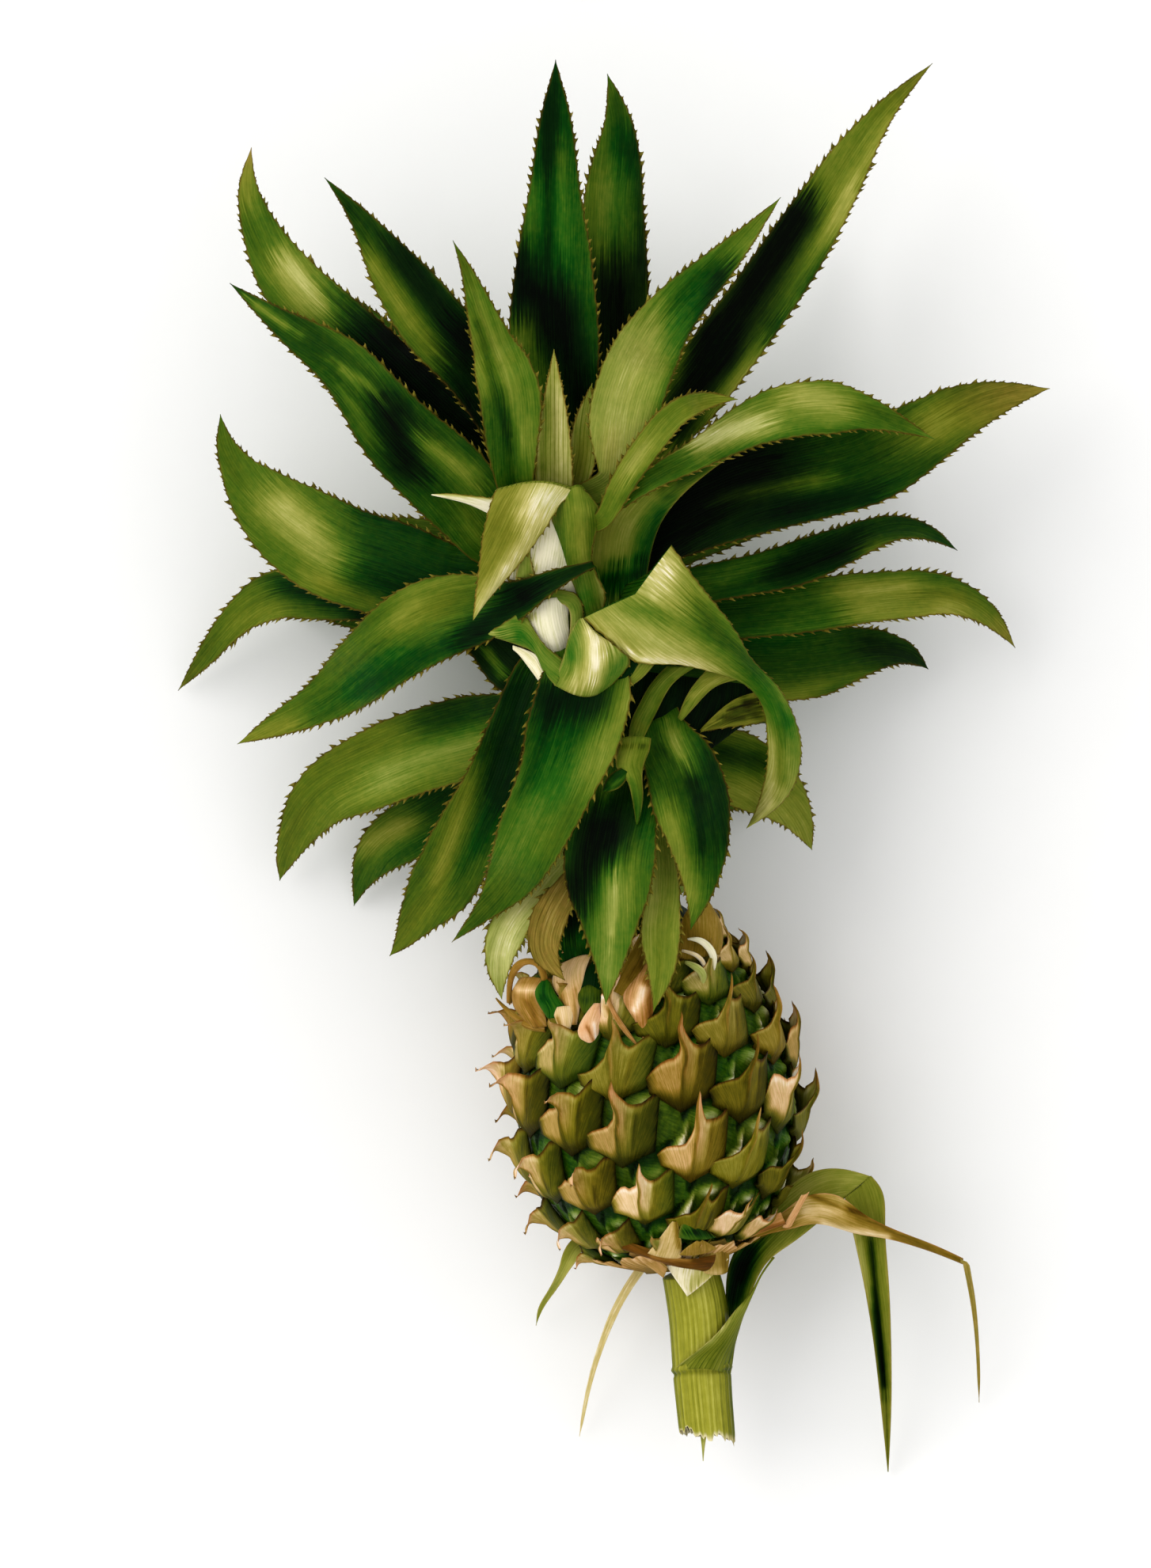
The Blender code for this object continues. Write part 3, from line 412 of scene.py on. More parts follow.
def leaf_material(name, rough=.52, lines=1.0):
    """Leathery blade: tone (own colour with painted shade and painted highlights), warmth and dryness come from the
    piece, streaks run along it.
    """
    n = Net(name, rough, .03)
    across, along, seed = n.split(n.attr("leafco").outputs["Vector"])
    tone, tone2, warm, dry, rib = (n.attr(k).outputs["Fac"] for k in ("tone", "tone2", "warm", "dry", "rib"))
    fine = n.noise(n.join(n.math("MULTIPLY", across, 2.6), n.math("MULTIPLY", along, .09), seed), 1.0, 3, .65)
    comb = n.noise(n.join(n.math("MULTIPLY", across, 1.5), n.math("MULTIPLY", along, .035), n.math("ADD", seed, 7.0)), 1.0, 2, .6)
    pick = n.math("ADD", n.math("MULTIPLY", n.math("SUBTRACT", comb, .5), 3.2), .5, clamp=True)
    tone = n.math("ADD", n.math("MULTIPLY", tone, n.math("SUBTRACT", 1.0, pick)), n.math("MULTIPLY", tone2, pick))
    broad = n.noise(n.join(n.math("MULTIPLY", across, .42), n.math("MULTIPLY", along, .018), seed), 1.0, 2, .5)
    spots = n.noise(n.join(n.math("MULTIPLY", across, .5), n.math("MULTIPLY", along, .3), seed), 1.0, 4, .6)
    wander = n.math("MULTIPLY", broad, 3.0)
    vein = n.math("SINE", n.math("ADD", n.math("MULTIPLY", across, 6.4), wander))
    vein = n.math("MULTIPLY", vein, n.math("MULTIPLY", fine, 2.0))
    t = n.math("ADD", tone, n.math("MULTIPLY", n.math("SUBTRACT", fine, .5), .24*lines))
    t = n.math("ADD", t, n.math("MULTIPLY", n.math("SUBTRACT", broad, .5), .15))
    t = n.math("ADD", t, n.math("MULTIPLY", n.math("SUBTRACT", spots, .5), .10))
    t = n.math("ADD", t, n.math("MULTIPLY", vein, .013*lines))
    cords = n.math("SINE", n.math("ADD", n.math("MULTIPLY", across, 3.7), n.math("MULTIPLY", wander, .5)))
    t = n.math("SUBTRACT", t, n.math("MULTIPLY", n.math("MULTIPLY", n.math("MAXIMUM", n.math("SUBTRACT", rib, .2), 0.0), n.math("MULTIPLY", n.math("POWER", n.math("MAXIMUM", cords, 0.0), 3.0), n.math("MULTIPLY", comb, 2.0))), .42), clamp=True)
    w = n.math("ADD", warm, n.math("MULTIPLY", n.math("SUBTRACT", spots, .5), .5))
    w = n.math("ADD", w, n.math("MULTIPLY", n.math("SUBTRACT", fine, .5), .3), clamp=True)
    green = n.mix(w, n.ramp(t, COOL), n.ramp(t, WARM))
    brown = n.ramp(n.math("ADD", t, n.math("MULTIPLY", n.math("SUBTRACT", fine, .5), .3), clamp=True),
                   ((0, srgb(34, 22, 2)), (.35, srgb(98, 74, 18)), (.6, srgb(150, 122, 52)), (.85, srgb(208, 182, 120)), (1, srgb(244, 232, 200))))
    d = n.math("ADD", dry, n.math("MULTIPLY", n.math("SUBTRACT", spots, .5), n.math("MULTIPLY", dry, .9)), clamp=True)
    n.colour(n.mix(d, green, brown))
    n.rough(n.math("ADD", n.math("MULTIPLY", spots, .22), rough - .11))
    ridges = n.math("MULTIPLY", n.math("SINE", n.math("ADD", n.math("MULTIPLY", across, 6.4), wander)), .5)
    coarse = n.math("MULTIPLY", n.math("SINE", n.math("MULTIPLY", across, 3.1)), n.math("MULTIPLY", rib, 2.4))
    h = n.math("ADD", n.math("ADD", ridges, n.math("MULTIPLY", fine, .9)), coarse)
    n.bump(h, .00007, .8)
    return n.mat


LEAF = leaf_material("leaf_skin")


def put_piece(name, v, polys, mat, attrs, body="root", node=(), sharp=None):
    """Makes a mesh piece from layout millimetres; its object stays at the origin."""
    attrs = dict(attrs)
    attrs.setdefault("tone2", attrs["tone"])
    mesh = bpy.data.meshes.new(name)
    faces = []
    for p in polys:
        faces += np.asarray(p).tolist()
    mesh.from_pydata(((np.asarray(v) + ORIGIN)*MM).tolist(), [], faces)
    for key, value in attrs.items():
        value = np.asarray(value, float)
        if value.ndim == 2:
            a = mesh.attributes.new(key, "FLOAT_VECTOR", "POINT")
            a.data.foreach_set("vector", value.astype(np.float32).ravel())
        else:
            a = mesh.attributes.new(key, "FLOAT", "POINT")
            a.data.foreach_set("value", value.astype(np.float32))
    mesh.materials.append(mat)
    mesh.shade_smooth()
    if sharp:
        mesh.set_sharp_from_angle(angle=math.radians(sharp))
    obj = bpy.data.objects.new(name, mesh)
    bpy.context.scene.collection.objects.link(obj)
    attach(obj, body)
    if node:
        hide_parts(*([node] if isinstance(node, str) else node))
    return obj


def grid_faces(rows, cols, at=0, wrap=False, flip=False):
    k = np.arange(rows - 1)[:, None]
    i = np.arange(cols if wrap else cols - 1)[None, :]
    j = (i + 1) % cols
    f = np.stack([k*cols + i, k*cols + j, (k+1)*cols + j, (k+1)*cols + i], -1).reshape(-1, 4) + at
    return f[:, ::-1] if flip else f


def skin_sheet(mid, normal, thick):
    """A closed thin body round a middle surface (rows, cols, 3). Returns points and faces."""
    rows, cols = mid.shape[:2]
    top = (mid + thick[..., None]*normal).reshape(-1, 3)
    low = (mid - thick[..., None]*normal).reshape(-1, 3)
    n = rows*cols
    faces = [grid_faces(rows, cols), grid_faces(rows, cols, n, flip=True)]
    k = np.arange(rows - 1)
    left, right = k*cols, k*cols + cols - 1
    faces.append(np.stack([left, left + cols, left + cols + n, left + n], -1))
    faces.append(np.stack([right + cols, right, right + n, right + cols + n], -1))
    i = np.arange(cols - 1)
    faces.append(np.stack([i + 1, i, i + n, i + 1 + n], -1))
    j = (rows - 1)*cols + i
    faces.append(np.stack([j, j + 1, j + 1 + n, j + n], -1))
    return np.concatenate([top, low]), faces


def strokes(p, marks):
    """Soft strokes of tone and warmth, laid on a blade in plan: x0,y0,x1,y1,r,tone,warm. Tone strokes carry the leaf's
    own colour and also painted shade and painted highlights.
    """
    gx, gy = to_grid(p)
    tone, warm = np.zeros(gx.shape), np.zeros(gx.shape)
    for x0, y0, x1, y1, r, dt, dw in marks:
        dx, dy = x1 - x0, y1 - y0
        q = np.clip(((gx - x0)*dx + (gy - y0)*dy)/max(dx*dx + dy*dy, 1e-9), 0, 1)
        d = np.hypot(gx - x0 - q*dx, gy - y0 - q*dy)/r
        w = np.exp(-(d*.86)**2)
        tone += w*dt
        warm += w*dw
    return tone, warm


CORE = round_rows(CORE_PATH, CORE_RADIUS, 8, 60)


def root_point(foot):
    """Where a blade's hidden foot reaches into the stem."""
    c, T, r = CORE[1], CORE[2], CORE[5]
    k = int(np.argmin(np.linalg.norm(c - foot, axis=1)))
    k = max(k - 6, 0)
    out = foot - c[k]
    d = np.linalg.norm(out)
    return c[k] + out*min(1, .62*r[k]/max(d, 1e-6))


def blade_rows(blade, foot=True, step=1.1):
    """Centres, directions and half widths at even steps; the foot is drawn on into the stem."""
    t = np.linspace(0, 1, 400)
    p = blade.line(t)
    d = np.concatenate([[0], np.cumsum(np.linalg.norm(np.diff(p, axis=0), axis=1))])
    n = max(12, int(d[-1]/step))
    s = np.linspace(0, d[-1], n)
    tt = np.interp(s, d, t)
    c, T, W, N, half = blade.frame(tt)
    if foot:
        end = root_point(c[0]) if foot is True else np.array(foot, float)
        gap = np.linalg.norm(c[0] - end)
        m = max(4, int(gap/2.2))
        q = np.linspace(0, 1, m, endpoint=False)[:, None]
        a, b = end, c[0]
        va, vb = (b - a)*.9, T[0]*gap*.9
        cc = (2*q**3 - 3*q**2 + 1)*a + (q**3 - 2*q**2 + q)*va + (3*q**2 - 2*q**3)*b + (q**3 - q**2)*vb
        TT = np.gradient(np.concatenate([cc, c[:1]]), axis=0)[:-1]
        TT /= np.linalg.norm(TT, axis=1)[:, None]
        NN = N[0] - (TT @ N[0])[:, None]*TT
        NN /= np.linalg.norm(NN, axis=1)[:, None]
        WW = np.cross(TT, NN)
        hh = half[0]*(.72 + .28*q[:, 0])
        c, T, W, N = (np.concatenate(x) for x in ((cc, c), (TT, T), (WW, W), (NN, N)))
        half = np.concatenate([hh, half])
        s = np.concatenate([-gap*(1 - q[:, 0]), s])
        tt = np.concatenate([np.zeros(m), tt])
    return s, tt, c, T, W, N, half


def leaf_piece(blade, look, rng, node=None, foot=True, cols=21, teeth=1.0, thick=.62):
    s, t, c, T, W, N, half = blade_rows(blade, foot)
    half = np.maximum(half*np.interp(t, look.get("wide_at", (0, 1)), look.get("wide", (1, 1))), .12)
    lin = np.linspace(-1, 1, cols)
    u = .4*lin + .6*np.sin(lin*math.pi/2)
    body = smooth(0, .12, s/s[-1])*(1 - smooth(.82, 1, s/s[-1]))
    wave = look.get("ripple", .55)
    amp = wave*body*np.minimum(half/9, 1.2)
    ph = rng.uniform(0, 6.28, 4)
    lam = rng.uniform(26, 44, 2)
    ripple = np.stack([amp*np.sin(s*6.283/lam[0] + ph[0]) + amp*.4*np.sin(s*6.283/13 + ph[2]),
                       amp*np.sin(s*6.283/lam[1] + ph[1]) + amp*.4*np.sin(s*6.283/11 + ph[3])], -1)
    au = np.abs(u)
    side_of = (u > 0).astype(int)
    off = half[:, None]*(blade.channel*au**1.3)[None, :] + ripple[:, side_of]*au[None, :]**2.6
    fold = look.get("fold", 0)
    if fold:
        off = off - fold*np.exp(-(u/.09)**2)[None, :]*np.minimum(half, 8)[:, None]/8
    off = off + .10*np.cos(u[None, :]*half[:, None]*2*math.pi/4.2 + ph[0])*body[:, None]
    mid = c[:, None] + (u[None, :]*half[:, None])[..., None]*W[:, None] + off[..., None]*N[:, None]
    if "notch" in look:                   # the foot's edge dips towards the tip at the fold
        mid = mid + (look["notch"]*(1 - au)[None, :]*np.exp(-np.maximum(s, 0)/16)[:, None])[..., None]*T[:, None]
    slope = blade.channel*1.3*np.sign(u)*au**.3
    nrm = N[:, None] - .8*slope[None, :, None]*W[:, None]
    return dress(mid, nrm, s, u, half, look, rng, node or (), (teeth, teeth), thick, look.get("name") or "blade_" + blade.name)


def lobe(name, left, right, look, rng, bulge=0.0, teeth=(0, 0), thick=.5, cols=15, node=(), middle=None):
    """A blade or sheath drawn by its two margins: points (grid x, grid y, height mm), foot to tip."""
    def run(pts):
        p = np.array([(*to_plan(x, y), z) for x, y, z in pts])
        d = np.concatenate([[0], np.cumsum(np.linalg.norm(np.diff(p, axis=0), axis=1))])
        return d/d[-1], p
    (dl, L), (dr, R) = run(left), run(right)
    length = .5*(np.linalg.norm(np.diff(L, axis=0), axis=1).sum() + np.linalg.norm(np.diff(R, axis=0), axis=1).sum())
    n = max(14, int(length/1.1))
    t = np.linspace(0, 1, n)
    pl, pr = spline(dl, L, t), spline(dr, R, t)
    lin = np.linspace(-1, 1, cols)
    u = .5*lin + .5*np.sin(lin*math.pi/2)
    mid = .5*(pl + pr)[:, None] + .5*u[None, :, None]*(pr - pl)[:, None]
    du, dt = np.gradient(mid, axis=1), np.gradient(mid, axis=0)
    nrm = np.cross(du, dt)
    nrm /= np.maximum(np.linalg.norm(nrm, axis=2), 1e-9)[..., None]
    nrm *= np.sign(nrm[..., 2:].mean() or 1)
    half = .5*np.linalg.norm(pr - pl, axis=1)
    b = np.interp(t, np.linspace(0, 1, np.size(bulge)) if np.size(bulge) > 1 else (0, 1), bulge if np.size(bulge) > 1 else (bulge, bulge))
    lift = b[:, None]*(1 - u**2)[None, :]
    if middle is not None:
        dm, M = run(middle)
        pm = spline(dm, M, t)
        shape = (1 - np.abs(u))**1.05 if look.get("crease") else (1 - u**2)**1.3
        mid = mid + (pm - .5*(pl + pr))[:, None]*shape[None, :, None]
    mid = mid + lift[..., None]*nrm
    du, dt = np.gradient(mid, axis=1), np.gradient(mid, axis=0)
    nr = np.cross(du, dt)
    nr /= np.maximum(np.linalg.norm(nr, axis=2), 1e-9)[..., None]
    nr *= np.sign((nr*nrm).sum(-1))[..., None] + 0.0
    return dress(mid, nr, t*length, u, np.maximum(half, .1), look, rng, node, teeth, thick, name)


def dress(mid, nrm, s, u, half, look, rng, node, teeth, thick, name):
    """Gives a middle surface its thickness, toothed margins and paint."""
    nrm = nrm/np.maximum(np.linalg.norm(nrm, axis=2), 1e-9)[..., None]
    rows, cols = mid.shape[:2]
    length = s[-1]
    share = np.clip(s/length, 0, 1)
    au = np.abs(u)
    pitch = look.get("pitch", 4.4)
    spikes = []
    span = look.get("toothed", (.03, .975))
    for side, amount in zip((-1, 1), teeth):
        at = length*span[0] + rng.uniform(0, pitch)
        while at < length*span[1] and amount > 0:
            spikes.append((side, at, amount))
            q = at/length
            at += pitch*(1.12 - .42*q)*rng.uniform(.72, 1.28)*(.7 + .3*min(1, half[min(np.searchsorted(s, at), rows - 1)]/6))
    grow = np.zeros((rows, 2))
    for side, at, amount in spikes:
        grow[:, (side + 1)//2] += np.exp(-((s - at + .3)/.95)**2)
    E = np.gradient(mid, axis=1)
    E /= np.maximum(np.linalg.norm(E, axis=2), 1e-9)[..., None]
    push = np.sign(u)[None, :]*au[None, :]**10*(grow[:, (u > 0).astype(int)]*.55 - .2)*np.minimum(1, half/3)[:, None]*(len(spikes) > 0)
    mid = mid + push[..., None]*E
    T = np.gradient(mid, axis=0)
    T /= np.maximum(np.linalg.norm(T, axis=2), 1e-9)[..., None]
    th = thick*(1 - .78*au**3)[None, :]*np.minimum(1, .25 + half/7)[:, None]
    v, faces = skin_sheet(mid, nrm, th)
    # paint: own colour, plus painted shade and painted highlights from the marks
    flat = mid.reshape(-1, 3)
    back, on = (flat - 3.4*T.reshape(-1, 3)), (flat + 3.4*T.reshape(-1, 3))
    dt, dw = strokes(back, look.get("marks", ()))
    dt2, dw2 = strokes(on, look.get("marks", ()))
    spread = lambda x: np.broadcast_to(x, mid.shape[:2]).ravel()
    uu, ss, hh = spread(u[None, :]), spread(share[:, None]), spread(half[:, None])
    edge = smooth(1 - np.clip(.9/np.maximum(hh, .8), .04, .5), 1, np.abs(uu))
    dry = edge*look.get("edge", .45)
    for q0, q1, amount in look.get("dry", ()):
        dry = np.maximum(dry, smooth(q0, q1, ss)*amount)
    inked = smooth(1 - np.clip(.7/np.maximum(hh, .8), .03, .4), 1, np.abs(uu))*np.where(uu < 0, float(teeth[0] > 0), float(teeth[1] > 0))
    dry = np.maximum(dry, .7*inked)
    base = look["tone"] + edge*.05 + look.get("grade", 0)*uu
    tone, tone2 = (base + dt)*(1 - .45*inked), (base + dt2)*(1 - .45*inked)
    warm = look["warm"] + .5*(dw + dw2)
    rib = np.full(len(tone), look.get("rib", .15))
    co = np.stack([uu*hh, spread(s[:, None]), np.full(len(tone), rng.uniform(0, 90))], 1)
    under = look.get("under", .18)
    low = lambda x: np.clip(.55*x + under + .1, 0, .95)
    A = {"leafco": np.concatenate([co, co]), "tone": np.clip(np.concatenate([tone, low(tone)]), 0, 1),
         "tone2": np.clip(np.concatenate([tone2, low(tone2)]), 0, 1),
         "warm": np.clip(np.concatenate([warm, warm*.7 + .12]), 0, 1), "dry": np.concatenate([dry, dry]),
         "rib": np.concatenate([rib, rib + .3])}
    # teeth: hooked prickles set in the margin
    V, F = [v], list(faces)
    at0 = len(v)
    sv, st = [], []
    for side, at, amount in spikes:
        q = at/length
        k = int(np.clip(np.searchsorted(s, at), 1, rows - 1))
        col = 0 if side < 0 else cols - 1
        h = look.get("tooth", 1.95)*amount*(.55 + .45*smooth(0, .2, q))*(1 - .5*smooth(.75, 1, q))*rng.uniform(.6, 1.25)*min(1, .45 + half[k]/9)
        Ed = side*E[k, col]
        Fw = T[k, col]
        Nn = np.cross(Ed, Fw)
        base_at = mid[k, col] - .5*Ed
        w = .62*h
        lean = rng.uniform(.7, 1.2)
        rings = ((0, -.25, 1.0, .30), (.30, -.02, .60, .24), (.60, .24*lean, .32, .16), (.84, .56*lean, .14, .09))
        for eo, fo, wa, nb in rings:
            cen = base_at + (eo*h + .2)*Ed + fo*h*Fw
            for ca, sa in ((1, 0), (0, 1), (-1, 0), (0, -1)):
                sv.append(cen + ca*wa*w*Fw + sa*nb*Nn)
        sv.append(base_at + (.92*h + .2)*Ed + .95*lean*h*Fw)
        a = at0 + len(sv) - 17
        quads = []
        for r in range(3):
            for i in range(4):
                j = (i + 1) % 4
                quads.append((a + 4*r + i, a + 4*r + j, a + 4*r + 4 + j, a + 4*r + 4 + i))
        F.append(np.array(quads))
        F.append(np.array([(a + 12 + i, a + 12 + (i + 1) % 4, a + 16) for i in range(4)]))
        F.append(np.array([(a + 3, a + 2, a + 1, a)]))
        st.append(np.linspace(.34, .56, 17) + rng.uniform(-.12, .08))
    if sv:
        V.append(np.array(sv))
        m = len(sv)
        A["leafco"] = np.concatenate([A["leafco"], np.array(sv)*.3])
        for key, value in (("tone", np.concatenate(st)), ("tone2", np.concatenate(st)), ("warm", np.full(m, .8)), ("dry", np.full(m, .55)), ("rib", np.zeros(m))):
            A[key] = np.concatenate([A[key], value])
    return put_piece(name, np.concatenate(V), F, BRACT if look.get("skin") == "bract" else LEAF, A, node=node)
